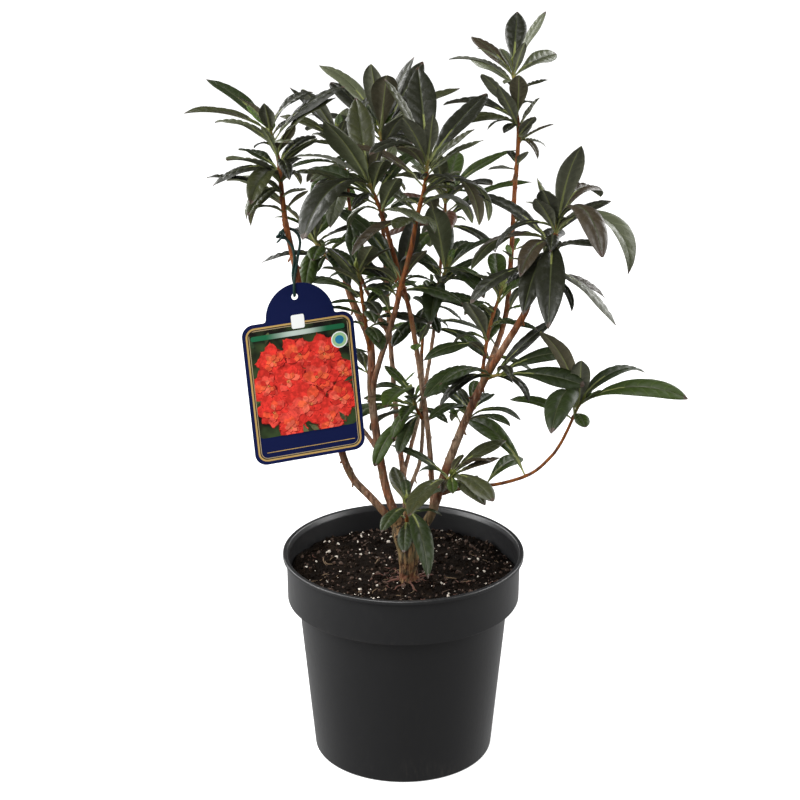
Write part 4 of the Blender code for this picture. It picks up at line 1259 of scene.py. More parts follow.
def build_lumps(name, settings, count, sizes, subdivisions, finishes, seed):
    """Loose grains half sunk in the compost, each squashed and dented in its own way."""
    rng = random.Random(seed)
    build = Build()
    shape, faces = lump(subdivisions)
    for i in range(count):
        x, y = strewn(rng, SOIL_TOP_RADIUS - 2.5)
        size = rng.triangular(*sizes)
        dented = shape * np.array([[rng.uniform(*GRAIN_DENTS)] for _ in shape])
        squash = np.array([rng.uniform(*ends) for ends in GRAIN_SQUASH])
        turn, axis = rng.uniform(0, 6.28), Vector([rng.gauss(0, 1) for _ in "xyz"])
        turn = np.array(Matrix.Rotation(turn, 3, axis))
        z = soil_height(x, y, settings.relief / MM) + size * rng.uniform(*GRAIN_SUNK)
        points = ((dented * squash * size / 2) @ turn.T + (x, y, z)) * MM
        build.add(points, [(faces, rng.randrange(len(finishes)), None)])
    mesh = build.mesh(name, mapped=False)
    if subdivisions < 2:
        mesh.polygons.foreach_set("use_smooth", [False] * len(mesh.polygons))
    add_piece(name, mesh, finishes, "compost")


def add_roots(build, rng, settings):
    """Reddish roots that leave the trunk's foot and dip into the compost."""
    last = ROOT_POINTS - 1
    for i in range(SURFACE_ROOTS):
        heading = radians(360 * i / SURFACE_ROOTS) + rng.uniform(-0.25, 0.25)
        long, thick = rng.uniform(*ROOT_LENGTHS), rng.uniform(*ROOT_RADII)
        bend = rng.uniform(-ROOT_BEND, ROOT_BEND)
        x, y = TRUNK_X + ROOT_START * cos(heading), TRUNK_Y + ROOT_START * sin(heading)
        line = []
        for t in (k / last for k in range(ROOT_POINTS)):
            lift = thick * (0.9 - 1.9 * t ** 2) + 0.9 * sin(5 * t + i) * t * (1 - t)
            line.append(metres((x, y, soil_height(x, y, settings.relief / MM) + lift)))
            x, y = x + long / last * cos(heading), y + long / last * sin(heading)
            heading += bend / last
        add_rod(build, line, thick * np.linspace(1, 0.35, ROOT_POINTS), 8, 2)


def build_fibres(settings):
    """Straw, bark fibres and fine roots that lie about on the compost."""
    rng = random.Random(FIBRE_SEED)
    build = Build()
    for _ in range(settings.fibres):
        near_trunk = rng.random() < NEAR_TRUNK
        x, y = strewn(rng, NEAR_TRUNK_REACH if near_trunk else SOIL_TOP_RADIUS - 10)
        if near_trunk:
            x, y = x + TRUNK_X, y + TRUNK_Y
        heading, bend = rng.uniform(0, tau), rng.uniform(-FIBRE_BEND, FIBRE_BEND)
        long, thick = rng.triangular(*FIBRE_LENGTHS), rng.uniform(*FIBRE_RADII)
        line = []
        for k in range(FIBRE_POINTS):
            t = k / (FIBRE_POINTS - 1) - 0.5
            a = heading + bend * t
            px, py = x + long * t * cos(a), y + long * t * sin(a)
            if hypot(px, py) > SOIL_TOP_RADIUS - 2:
                break
            pz = soil_height(px, py, settings.relief / MM) + thick + rng.uniform(0, 0.7)
            line.append(metres((px, py, pz)))
        if len(line) < 4:
            continue
        share = np.linspace(0, 1, len(line))
        slot = 2 if near_trunk and rng.random() < RUSTY_NEAR_TRUNK else rng.randrange(3)
        add_rod(build, line, thick * np.interp(share, (0, 0.2, 0.8, 1), (0.5, 1, 0.9, 0.4)), 5, slot)
    add_roots(build, rng, settings)
    finishes = [speckled_finish("straw", (0.13, 0.085, 0.045), (0.07, 0.045, 0.024), 1.5),
                speckled_finish("dark_root", (0.03, 0.018, 0.011), (0.06, 0.036, 0.02), 1.5),
                speckled_finish("bark_fibre", (0.07, 0.025, 0.015), (0.032, 0.012, 0.008), 1.5)]
    mesh = build.mesh("compost_fibres", mapped=False)
    add_piece("compost_fibres", mesh, finishes, "compost")


def build_compost(settings):
    build_compost_bed(settings)
    grains = [compost_finish(settings, "crumb_dark", 1.1), compost_finish(settings, "crumb_brown", 1.7),
              speckled_finish("crumb_bark", (0.042, 0.021, 0.012), (0.018, 0.01, 0.006), 1.2)]
    build_lumps("compost_crumbs", settings, settings.crumbs, (0.8, 4.6, 1.3), 1, grains, CRUMB_SEED)
    white = [speckled_finish("perlite", (0.5, 0.46, 0.4), (0.24, 0.2, 0.16), 0.8, 0.85, 0.2)]
    build_lumps("compost_perlite", settings, settings.perlite, (0.8, 3.9, 1.2), 2, white, CRUMB_SEED + 1)
    build_fibres(settings)


# ---------------- trunk and boughs

TRUNK_SIDES, BOUGH_SIDES, THIN_SIDES = 84, 22, 16
TRUNK_RING, TRUNK_SUNK, TRUNK_HEAD = 0.75, 8, 4.0  # ring spacing, depth in the compost, rounding
SCAR_SPACING = (5, 11)
FLARE = 0.42
SPUR_STRENGTH = 1.06  # a scar stronger than this has a dry stub


def scars_on(name, length):
    """Leaf scars up a limb, in a golden-angle spiral: (distance up in mm, angle, strength)."""
    rng = random.Random(name)
    found, up, turn = [], rng.uniform(6, 12), rng.uniform(0, 360)
    while up < length - 4:
        found.append((up, radians(turn % 360), rng.uniform(0.5, 1.2)))
        up += rng.uniform(*SCAR_SPACING)
        turn += GOLDEN_ANGLE
    return found


def add_trunk(build, settings):
    """The trunk from below the compost to its rounded head, ridged at the foot and cracked."""
    line = smooth_line(((4.2, TRUNK_Y, SOIL_LEVEL - TRUNK_SUNK), *TRUNK_ROUTE), TRUNK_RING)
    strand = Strand(line)
    run, sunk = strand.run, TRUNK_SUNK + GAP
    share = np.clip((run - sunk) / (run[-1] - sunk), 0, 1)
    radii = np.interp(share, *zip(*TRUNK_RADII))
    radii[share == 0] += 0.4
    left = (run[-1] - run) / TRUNK_HEAD
    radii *= np.where(left < 1, np.sqrt(np.clip(1 - (1 - left) ** 2, 0.04, 1)), 1)
    turn = np.array(turns(TRUNK_SIDES))
    ridges = 0.6 * np.cos(3 * turn + 0.7) + 0.4 * np.cos(5 * turn + 2) - 0.9
    grid = np.repeat(radii[:, None], TRUNK_SIDES, 1) + swelling(run - sunk, 7) * ridges
    plain = strand.rings(grid)
    cracks = ruffled(plain, (0.34, 0.34, 0.06), 4.0)
    fine = ruffled(plain, (0.9, 0.9, 0.22), 9.0)
    lumps = ruffled(plain, (0.13, 0.13, 0.1), 2.0)
    depth = settings.fissures / MM
    grid += 1.0 * lumps + 0.3 * fine - depth * np.clip(1 - np.abs(cracks) / 0.11, 0, 1)
    grid -= 0.45 * depth * np.clip(1 - np.abs(fine) / 0.12, 0, 1)
    strand.skin(build, np.maximum(grid, 0.5))


def add_spur(build, foot, way, long, thick):
    """A dry stub where a side shoot has broken off."""
    line = [Vector(foot + way * long * t * MM) for t in (0, 0.35, 0.7, 0.92, 1)]
    add_rod(build, line, thick * np.array([1.5, 1.05, 0.92, 0.85, 0.55]), 9)


def add_bough(build, name, line, base, tip, joint, settings):
    """A bough with a flared foot, leaf scars and faint ridges, narrowed to the stem that it bears."""
    strand = Strand(line)
    run = strand.run
    sides = BOUGH_SIDES if base >= THIN_BOUGH else THIN_SIDES
    radii = np.interp(run, (0, run[-1] - 7, run[-1]), (base, tip + (base - tip) * 7 / run[-1], joint))
    radii *= 1 + FLARE * np.exp(-(run / (2.6 * base)) ** 2)
    grid = np.repeat(radii[:, None], sides, 1)
    height = settings.scar_height / MM
    for up, angle, strength in scars_on(name, run[-1]):
        past, off = run - up, off_from(angle, sides) * base
        rise, dip = swelling(past, 1.3, off, 1.5), swelling(past - 1.4, 0.7, off, 1.2)
        grid += height * strength * (rise * 1.3 - dip * 0.5)
        grid += 0.12 * strength * swelling(past - 0.4, 0.45)
        if strength > SPUR_STRENGTH:
            at = int(np.argmin(np.abs(past)))
            ray = strand.ray(at, angle)
            way = ray * 0.75 + np.cross(strand.across[at], strand.over[at]) * -0.65
            add_spur(build, strand.points[at] + ray * (radii[at] - 0.6) * MM, way,
                     2.4 + 22 * (strength - SPUR_STRENGTH), 0.45 + 0.13 * base)
    plain = strand.rings(grid)
    grid += 0.16 * ruffled(plain, (0.5, 0.5, 0.1), 1.0) * base / 3
    grid += 0.07 * ruffled(plain, (1.3, 1.3, 0.5), 6.0)
    strand.skin(build, grid)


def build_limbs(settings):
    """Trunk and boughs as one skin of bark."""
    build = Build()
    add_trunk(build, settings)
    joints = {"bough_" + name: spray.radii[0] for name, spray in SPRAYS.items() if spray.bearer == TIP}
    for name, (base, tip, route) in BOUGHS.items():
        line = smooth_line(route, settings.ring_spacing / MM)
        add_bough(build, name, line, base, tip, joints[name] + 0.1, settings)
    add_piece("bark", build.mesh("bark"), [bark_finish(settings)], "bark", "trunk", *BOUGHS)


# ---------------- fine leaves

Traits = namedtuple("Traits", "width foot tip fold arch wave phase sweep stagger puff pucker sickle")

LEAF_COLUMNS = (0.18, 0.42, 0.7, 0.9, 1.0)  # across a half blade, from the rib's edge to the margin
FIRST_VEIN, LAST_VEIN = 0.09, 0.9
VEIN_HALF_WIDTH = 0.2
PETIOLE_ROWS = (0, 0.03, 0.06)
TIP_ROWS = (0.95, 0.98, 0.996)
THIN = 0.14  # half the blade's thickness
BLADE, VEIN, RIB, UNDER, UNDER_VEIN, UNDER_RIB, PETIOLE, RIB_FOOT, BLADE_FOOT, TIP_END = range(10)
RIB_FOOT_SHARE, BLADE_FOOT_SHARE = 0.42, 0.22  # lower shares where the rib and blade are yellower
TIP_FACES = 2  # rows of faces at the browned tip
FLIPPED = [0, 3, 2, 1]  # a face's corners the other way round


def traits_of(rng, settings):
    """What makes one leaf differ from the next."""
    return Traits(width=rng.uniform(0.82, 1.0), foot=rng.uniform(1.25, 1.75),
                  tip=rng.uniform(0.68, 1.05), fold=radians(rng.triangular(4, 34, 13)),
                  arch=rng.uniform(0.1, 0.5),
                  wave=rng.uniform(0.35, 1.15) * settings.ruffle / MM, phase=rng.random(),
                  sweep=rng.uniform(0.09, 0.13), stagger=rng.choice((-1, 1)) * 0.024,
                  puff=settings.puff / MM * rng.uniform(0.7, 1.15), pucker=rng.randrange(1000),
                  sickle=rng.uniform(-0.04, 0.04))


def leaf_rows(pairs, vein):
    """Stations up the midrib and how far the blade swells at each."""
    rows, puffs = list(PETIOLE_ROWS), [0] * len(PETIOLE_ROWS)
    step = (LAST_VEIN - FIRST_VEIN) / pairs
    for k in range(pairs):
        start = FIRST_VEIN + k * step
        rows += [start - vein, start + vein, start + 0.36 * step, start + 0.7 * step]
        puffs += [0, 0, 1, 0.9]
    return np.array(rows + [LAST_VEIN, *TIP_ROWS]), np.array(puffs + [0.3, 0, 0, 0])


@functools.cache
def leaf_faces(pairs):
    """Faces of a leaf's top, underside and ends, with their kinds."""
    rows = len(leaf_rows(pairs, 0)[0])
    columns = 2 * len(LEAF_COLUMNS) + 3
    top = np.arange(rows * columns).reshape(rows, columns)
    under = top.copy()
    under[:, 1:-1] = rows * columns + np.arange(rows * (columns - 2)).reshape(rows, -1)
    kinds = np.full((rows - 1, columns - 1), BLADE)
    vein_rows = len(PETIOLE_ROWS) + 4 * np.arange(pairs)
    kinds[vein_rows] = VEIN
    middle = columns // 2
    kinds[:, middle - 1:middle + 1] = RIB
    below = np.select([kinds == VEIN, kinds == RIB], [UNDER_VEIN, UNDER_RIB], UNDER)
    kinds[:round(RIB_FOOT_SHARE * rows), middle - 1:middle + 1] = RIB_FOOT
    foot = kinds[:round(BLADE_FOOT_SHARE * rows)]
    foot[foot == BLADE] = BLADE_FOOT
    kinds[-TIP_FACES:] = TIP_END
    kinds[:len(PETIOLE_ROWS) - 1] = below[:len(PETIOLE_ROWS) - 1] = PETIOLE
    upper, lower = cells(top)[:, :, FLIPPED].reshape(-1, 4), cells(under).reshape(-1, 4)
    end_quads, end_tris = [], []
    for row, outward in ((0, 1), (rows - 1, -1)):
        high, low = top[row], under[row]
        for j in range(columns - 1):
            face = list(dict.fromkeys((high[j], high[j + 1], low[j + 1], low[j])))[::outward]
            (end_tris if len(face) == 3 else end_quads).append(face)
    sharp = np.zeros(rows * columns + rows * (columns - 2), bool)
    sharp[top[:, [0, -1]]] = True
    for row in (0, -1):
        sharp[top[row]] = sharp[under[row]] = True
    return upper, lower, kinds.ravel(), below.ravel(), np.array(end_quads), np.array(end_tris), sharp


def blade_points(leaf, traits, pairs):
    """Points of one leaf: the top's grid and the underside's inner columns, and the flat grid."""
    rows, puffs = leaf_rows(pairs, VEIN_HALF_WIDTH / leaf.length)
    full = leaf.width * traits.width
    widest = traits.foot / (traits.foot + traits.tip)
    most = widest ** traits.foot * (1 - widest) ** traits.tip

    def half_width(s):
        outline = full / 2 * np.clip(s, 0, 1) ** traits.foot * np.clip(1 - s, 0, 1) ** traits.tip / most
        return (outline ** 4 + (0.85 * (1 - 0.8 * s)) ** 4 * (1 - s)) ** 0.25

    s = rows[:, None]
    rib = np.minimum(0.85 * (1 - s) * min(1, leaf.length / 45) + 0.14, 0.6 * half_width(s))
    r = rib / half_width(s)
    inner = r + (1 - r) * np.array(LEAF_COLUMNS)
    across = np.concatenate([-inner[:, ::-1], -r, 0 * r, r, inner], 1)
    out = np.abs(across)
    shift = traits.stagger * np.sign(across) * np.clip((out - r) / 0.18, 0, 1)
    s = s + np.sin(np.pi * s) * (traits.sweep * out ** 1.1 + shift)
    rough = np.random.default_rng(traits.pucker).uniform(-1, 1, (len(rows), 2))
    pucker = np.where(across > 0, rough[:, :1], rough[:, 1:]) * np.where(puffs > 0, 1.0, 0.4)[:, None]
    x = across * half_width(s) * (1 + 0.007 * out ** 3 * (puffs[:, None] - 0.5)
                                  + 0.006 * pucker * out ** 3)
    swell = traits.puff * puffs[:, None] * np.sin(np.pi * np.clip(out, 0, 1)) * min(1, full / 15)
    ripple = np.sin(2 * np.pi * (1.8 * s + traits.phase + 0.37 * np.sign(across)))
    shape = (tan(traits.fold) * np.abs(x) - traits.arch * np.abs(x) * out ** 2
             + traits.wave * min(1, full / 15) * (ripple + 0.1 * pucker) * np.sin(np.pi * s) * out ** 2)
    thick = THIN * (1 - out ** 6)
    centre = (across == 0).astype(float)
    near_rib = np.where(out <= r + 1e-9, 0.45, 0) + 0.55 * centre
    top = shape + thick + swell - 0.2 * centre * np.clip(s / 0.1, 0, 1)
    under = shape - thick + 0.6 * swell - near_rib * (0.25 + 0.55 * (1 - s)) * min(1, leaf.length / 40)

    rise, bend = radians(leaf.rise), radians(leaf.droop)
    bend = bend if abs(bend) > 0.002 else 0.002
    slope = rise - bend * s
    forward, up = (sin(rise) - np.sin(slope)) / bend, (np.cos(slope) - cos(rise)) / bend
    bearing = radians(leaf.bearing)
    heading, sky = np.array([cos(bearing), sin(bearing), 0]), np.array([0, 0, 1.0])
    along = heading * np.cos(slope)[..., None] + sky * np.sin(slope)[..., None]
    side = np.broadcast_to(np.array([-heading[1], heading[0], 0]), along.shape)
    normal = np.cross(along, side)
    roll = np.radians(leaf.roll * s)[..., None]
    side, normal = (side * np.cos(roll) + normal * np.sin(roll),
                    normal * np.cos(roll) - side * np.sin(roll))
    reach = heading * forward[..., None] + sky * up[..., None]
    spine = np.array(leaf.base) + reach * leaf.length * MM
    sideways = (x + traits.sickle * leaf.length * s ** 2)[..., None]
    upper = spine + (side * sideways + normal * top[..., None]) * MM
    lower = spine + (side * sideways + normal * under[..., None]) * MM
    flat = np.stack([x, s * leaf.length], -1) * MM
    return np.concatenate([upper.reshape(-1, 3), lower[:, 1:-1].reshape(-1, 3)]), flat


def add_leaf(build, leaf, traits, pairs, palette):
    """Adds one leaf; palette gives the slot of each kind of face."""
    points, flat = blade_points(leaf, traits, pairs)
    upper, lower, kinds, below, end_quads, end_tris, sharp = leaf_faces(pairs)
    top_map = cells(build.shelved(flat))[:, :, FLIPPED].reshape(-1, 4, 2)
    under_map = cells(build.shelved(flat)).reshape(-1, 4, 2)
    palette = np.array(palette)
    build.add(points, [(upper, palette[kinds], top_map), (lower, palette[below], under_map),
                       (end_quads, palette[PETIOLE], None), (end_tris, palette[PETIOLE], None)], sharp)


# Leaf colours: each tone has a blade and its paler veins; undersides come in three. The pale grey-green
# tone is a painted reflection of the sky's sheen on dark upper leaves.
TONES = {
    "dark": (0.0072, 0.008, 0.0033),
    "deep": (0.0105, 0.017, 0.0032),
    "green": (0.021, 0.035, 0.0045),
    "olive": (0.023, 0.0255, 0.0085),
    "bronze": (0.023, 0.017, 0.0088),
    "russet": (0.05, 0.019, 0.010),
    "young": (0.045, 0.075, 0.013),
    "sage": (0.05, 0.056, 0.029),
    # painted reflection: a pale grey-green blade that stands for sheen on a dark leaf
    "silver": (0.07, 0.073, 0.055),
}
GLOSSY, SATIN, DULL = (0.43, 0.31), (0.5, 0.21), (0.6, 0.3)  # roughness and specular level
SATIN_TONES = ("deep", "green", "young")
LEAF_FOOT = (0.055, 0.068, 0.02)  # mixed into each tone near the leaf's foot
UNDERS = {"grey": (0.1, 0.104, 0.07), "sage": (0.078, 0.088, 0.045), "tan": (0.1, 0.09, 0.055)}
YOUNG_LENGTHS = (11, 30)
YOUNG_TONES, SPRIG_TONES = ("young", "green", "green", "olive"), ("young", "green", "young", "olive")
YOUNG_PAIRS, SCALE_PAIRS = 4, 2
BUD_SCALES = 7
STEM_SIDES = 14
GREEN_END = 9  # how far a stem is green below its bud
STEM_END = (1, 2, 3.2, 4.4, 5.4)  # rings past the end of a stem's route, under its bud
SPRIG_FROM = 0.35  # no sprig lower on its bough than this share
SPRIG_LENGTHS = (10, 26)
SCALE_TRAITS = {"fold": radians(-22), "wave": 0, "sickle": 0, "foot": 0.7, "tip": 0.8, "puff": 0}


@functools.cache
def leaf_slots():
    """The leaf materials in order, and the palettes that pick from them."""
    materials, palettes = [], {}

    def added(name, colour, roughness=0.42, specular=0.38):
        materials.append(leaf_finish(name, colour, roughness, specular))
        return len(materials) - 1

    rib = added("rib", (0.034, 0.04, 0.015))
    rib_foot = added("rib_foot", (0.13, 0.145, 0.042), 0.45)
    tip = added("leaf_tip", (0.03, 0.017, 0.01))
    under_rib = added("rib_below", (0.2, 0.22, 0.085), 0.5)
    petiole = added("petiole", (0.16, 0.175, 0.05), 0.5)
    bud = added("bud_scale", (0.15, 0.17, 0.04), 0.5)
    unders = [(added(f"under_{name}", colour, *DULL),
               added(f"under_vein_{name}", shade(colour, 1.35), *DULL))
              for name, colour in UNDERS.items()]
    for name, colour in TONES.items():
        gloss = SATIN if name in SATIN_TONES else GLOSSY
        blade = added(f"leaf_{name}", colour, *gloss)
        vein = added(f"vein_{name}", shade(colour, 2.0), *gloss)
        foot_colour = tuple(0.55 * own + 0.45 * pale for own, pale in zip(colour, LEAF_FOOT))
        foot = added(f"foot_{name}", foot_colour, *gloss)
        palettes[name] = [(blade, vein, rib, under, under_vein, under_rib, petiole, rib_foot, foot, tip)
                          for under, under_vein in unders]
    palettes["scale"] = [(bud,) * 10]
    return materials, palettes


Growth = namedtuple("Growth", "limbs lines crown leaves")


@functools.cache
def grown():
    """Limbs, stem lines and the crown: its main leaves as the solids have them, then finer ones."""
    limbs = limb_tables()
    trees = []
    for line, radii, sides in limbs.values():
        past_tip = line[-1] + end_way(line) * GAP * MM
        room = tapered_tube([*line, past_tip], radii, sides, GAP)
        trees.append(bvh_of(room))
        bpy.data.meshes.remove(room)
    inside = POT_RIM_RADIUS - 4
    guard_line = [metres((0, 0, 120)), metres((0, 0, SOIL_LEVEL + 1))]
    guard = tapered_tube(guard_line, ((0, inside), (1, inside)), 4)
    obstacles = [*trees, bvh_of(tag_solid()), bvh_of(tie_mesh(5, TIE_RADIUS, 1)), bvh_of(guard),
                 bvh_of(tag_solid(TAG_VIEW, TAG_VIEW / 2 + 1))]
    lines, crown = grow_crown(limbs, obstacles)
    main = {name: [leaf for leaf, *_ in placed] for name, placed in crown.leaves.items()}
    add_finer_leaves(lines, crown, main)
    return Growth(limbs, lines, crown, main)


def add_finer_leaves(lines, crown, main):
    """Smaller leaves that fill each spray within its reach, where there is room."""
    rng = random.Random(FINE_SEED)
    for name, line in lines.items():
        before = len(crown.leaves[name])
        leads = [(along, rank + 0.5, attitude)
                 for rank, (along, *attitude) in enumerate(SPRAYS[name].fine)]
        count = 0 if name in OPEN_SPRAYS else FINE_COUNT
        leads += [(along, 0.5, (bearing, rise + FINE_RISE, droop + FINE_DROOP, length))
                  for along, bearing, rise, droop, length in spiral_leaves(rng, count, *FINE_LENGTHS)]
        for along, rank, (*attitude, last) in leads:
            twist = [last] if len(attitude) == 4 else [last, rng.uniform(-LEAF_ROLL, LEAF_ROLL)]
            crown.place(name, Leaf(leaf_root(line, along, rank), *attitude, *twist))
        for leaf, *_ in crown.leaves[name][before:]:
            leaf.width *= FINE_SLIMMER
            main[name].append(leaf)


def aimed(axis, around_axis, opening):
    """Bearing and rise of a direction that opens this far from an axis, both in degrees."""
    across = axis.orthogonal().normalized()
    ray = Matrix.Rotation(radians(around_axis), 3, axis) @ across
    way = axis * cos(radians(opening)) + ray * sin(radians(opening))
    return degrees(atan2(way.y, way.x)), degrees(asin(max(-1, min(1, way.z))))


def add_bud(build, line, rng, settings, palettes):
    """Overlapping scales round the tip of a stem."""
    foot, axis = line[-5], (line[-1] - line[-5]).normalized()
    for i in range(BUD_SCALES):
        bearing, rise = aimed(axis, GOLDEN_ANGLE * i, 20 - 1.6 * i)
        scale = Leaf(foot + axis * (0.4 + 0.5 * i) * MM, bearing, rise, -26 + 2 * i,
                     BUD_LENGTH * rng.uniform(0.72, 0.95), 0)
        scale.width = 4.6 - 0.25 * i
        traits = traits_of(rng, settings)._replace(**SCALE_TRAITS)
        add_leaf(build, scale, traits, SCALE_PAIRS, palettes["scale"][0])


def young_leaves(name, line, crown, rng, count):
    """Small upright leaves round a bud, where there is room for them."""
    axis = (line[-1] - line[-5]).normalized()
    turn = rng.uniform(0, 360)
    found = []
    for i in range(count):
        bearing, rise = aimed(axis, turn + GOLDEN_ANGLE * i, rng.uniform(14, 46))
        leaf = Leaf(line[-5] - axis * rng.uniform(0.5, 3.5) * MM, bearing, rise, rng.uniform(-5, 30),
                    rng.uniform(*YOUNG_LENGTHS), rng.uniform(-10, 10))
        leaf.width = 0.3 * leaf.length + 1.8
        if crown.clear(leaf, name):
            crown.keep(name, leaf)
            found.append(leaf)
    return found


def build_sprays(settings):
    """Each spray's leaves, young leaves and bud as one piece that stands for the spray's solid."""
    growth = grown()
    materials, palettes = leaf_slots()
    for name, leaves in growth.leaves.items():
        node = "foliage_" + name
        rng = random.Random(node)
        build = Build()
        tones, line = SPRAYS[name].tones.split(), growth.lines[name]
        for leaf in leaves:
            traits, palette = traits_of(rng, settings), rng.choice(palettes[rng.choice(tones)])
            add_leaf(build, leaf, traits, settings.vein_pairs, palette)
        for leaf in young_leaves(name, line, growth.crown, rng, settings.young_leaves):
            palette = palettes[rng.choice(YOUNG_TONES)]
            add_leaf(build, leaf, traits_of(rng, settings), YOUNG_PAIRS, rng.choice(palette))
        add_bud(build, line, rng, settings, palettes)
        add_piece("leaves_" + name, build.mesh(node), materials, "leaf", node)


def fine_stem(name, limbs):
    """A stem's line for its skin: sunk a little in what bears it, and ended below the bud."""
    spray = SPRAYS[name]
    route = [metres(p) for p in spray.route]
    if spray.bearer == TIP:
        line = limbs["bough_" + name][0]
        route.insert(0, line[-1] - end_way(line) * 2.5 * MM)
    route = smooth_line([p / MM for p in route], 1.0)
    return [*route, *(route[-1] + end_way(route) * step * MM for step in STEM_END)]


def build_twigs(settings):
    """The leafy stems, with a cushion below each leaf."""
    growth = grown()
    build = Build()
    for name, leaves in growth.leaves.items():
        base, tip = SPRAYS[name].radii
        stem = Strand(fine_stem(name, growth.limbs))
        run, end = stem.run, stem.run[-1] - STEM_END[-1]
        radii = np.interp(run, (0, end, end + 3.5, run[-1]), (base, tip, tip * 0.9, 0.3))
        if SPRAYS[name].bearer != TIP:
            radii *= 1 + 0.4 * np.exp(-(run / (2.4 * base)) ** 2)
        grid = np.repeat(radii[:, None], STEM_SIDES, 1)
        for leaf in leaves:
            near = np.argmin(np.linalg.norm(stem.points - np.array(leaf.base), axis=1))
            bearing = radians(leaf.bearing)
            heading = np.array([cos(bearing), sin(bearing), 0.3])
            turn = atan2(heading @ stem.over[near], heading @ stem.across[near])
            off = off_from(turn, STEM_SIDES) * base
            grid += 0.5 * swelling(run - run[near] - 1.0, 1.3, off, 1.1)
        grid += 0.1 * ruffled(stem.rings(grid), (0.7, 0.7, 0.2), 3.0)
        stem.skin(build, grid, np.where(run[:-1] > end - GREEN_END, 1, 0))
    finishes = [twig_finish("twig", (0.17, 0.052, 0.009), (0.06, 0.02, 0.008)),
                twig_finish("twig_tip", (0.17, 0.12, 0.034), (0.12, 0.115, 0.035))]
    add_piece("twigs", build.mesh("twigs"), finishes, "bark")


def build_sprigs(settings):
    """Short shoots with a few small leaves from the old scars of the boughs."""
    crown = grown().crown
    materials, palettes = leaf_slots()
    build, stalks = Build(), Build()
    spacing = bpy.context.scene.azalea_bark.ring_spacing / MM
    for name, (base, tip, route) in BOUGHS.items():
        rng = random.Random(name + "_sprigs")
        bough = Strand(smooth_line(route, spacing))
        points, run = bough.points, bough.run
        for up, angle, strength in scars_on(name, run[-1]):
            if (up < SPRIG_FROM * run[-1] or rng.random() > settings.sprig_share
                    or strength > SPUR_STRENGTH):
                continue
            at = int(np.argmin(np.abs(run - up)))
            ray = bough.ray(at, angle)
            along = points[min(at + 1, len(points) - 1)] - points[at - 1]
            along /= np.linalg.norm(along)
            way = Vector(ray * 0.8 + along * 0.6).normalized()
            foot = Vector(points[at] + ray * (np.interp(up, (0, run[-1]), (base, tip)) - 0.4) * MM)
            knee = foot + way * rng.uniform(2.5, 6) * MM
            turn = rng.uniform(0, 360)
            leaves = []
            for i in range(rng.randint(2, 4)):
                bearing, rise = aimed(way, turn + GOLDEN_ANGLE * i, rng.uniform(18, 55))
                leaf = Leaf(knee - way * 0.4 * i * MM, bearing, rise, rng.uniform(0, 45),
                            rng.uniform(*SPRIG_LENGTHS), rng.uniform(-15, 15))
                leaf.width = 0.36 * leaf.length + 1.5
                if crown.clear(leaf, ""):
                    leaves.append(leaf)
            if not leaves:
                continue
            for leaf in leaves:
                palette = palettes[rng.choice(SPRIG_TONES)]
                add_leaf(build, leaf, traits_of(rng, settings), YOUNG_PAIRS, rng.choice(palette))
            stalk = [foot.lerp(knee, t) for t in (0, 0.25, 0.5, 0.75, 1, 1.15)]
            add_rod(stalks, stalk, (0.8, 0.65, 0.6, 0.6, 0.55, 0.2), 8)
    add_piece("sprig_leaves", build.mesh("sprig_leaves"), materials, "leaf")
    finish = twig_finish("stalk", (0.16, 0.1, 0.03), (0.11, 0.1, 0.03))
    add_piece("sprig_stalks", stalks.mesh("sprig_stalks"), [finish], "bark")


# ---------------- hang tag and tie

# Blooms from the back to the front, each with its place and reach, and leaves with their bearing.
BLOOMS = ((-22, -46, 13), (-2, -43, 14), (18, -45, 14), (30, -62, 12), (-28, -64, 13), (-10, -62, 16),
          (12, -64, 16), (-24, -84, 14), (27, -82, 14), (2, -82, 18), (-13, -98, 12), (17, -99, 12))
PRINT_LEAVES = ((-33, -36, 120, 12), (-26, -33, 70, 10), (26, -38, 40, 13), (4, -33, 100, 10),
                (33, -43, 10, 10), (-34, -82, 200, 11), (-20, -104, 250, 12), (20, -102, 300, 12),
                (34, -90, 330, 10))
FRONT_LEAVES = ((-4, -97, 285, 12), (0, -98, 320, 11), (30, -70, 20, 9), (-33, -75, 190, 8),
                (24, -92, 300, 10))
PICTURE_INSET, PICTURE_FOOT = 5.3, 20.8  # from the card's sides and top, and from its foot
PICTURE = (-TAG_WIDTH / 2 + PICTURE_INSET, TAG_BOTTOM + PICTURE_FOOT,
           TAG_WIDTH / 2 - PICTURE_INSET, TAG_TOP - PICTURE_INSET)
PETAL_POINTS = 18
INK_STEP, BLOOM_STEP, INK_THICKNESS, INK_SUNK = 0.02, 0.0008, 0.03, 0.01
BORDERS = ((2.6, 1.35, 7), (3.95, 0.8, 5.8), (4.75, 0.5, 5.1))  # inset, width and corner radius
LEAF_INKS = ((0.03, 0.055, 0.026), (0.05, 0.075, 0.03), (0.09, 0.1, 0.045))


def filled_outline(outlines, thickness):
    """A flat closed plate in the XY plane from outlines in millimetres; later ones are holes."""
    splines = [[((x * MM, y * MM, 0), 1) for x, y in outline] for outline in outlines]
    return curve_mesh(splines, True, dimensions="2D", fill_mode="BOTH", extrude=thickness * MM / 2)


def tag_solid(thickness=TAG_THICKNESS, ahead=0.0):
    """A plate in the card's outline, with its hole, this thick and this far in front of the card."""
    mesh = filled_outline((card_outline(5, 14), circle((0, 0), TAG_HOLE_RADIUS, 24)), thickness)
    mesh.transform(tag_pose() @ Matrix.Translation(metres((0, 0, ahead))))
    return mesh


def tie_mesh(spacing, radius, sides_setting):
    """The tie's closed loop, with points this far apart on its centre line."""
    line = smooth_line((*TIE_ROUTE, TIE_ROUTE[0]), spacing)[:-1]
    return curve_mesh([[(point, 1) for point in line]], True, dimensions="3D",
                      bevel_depth=radius * MM, bevel_resolution=sides_setting)


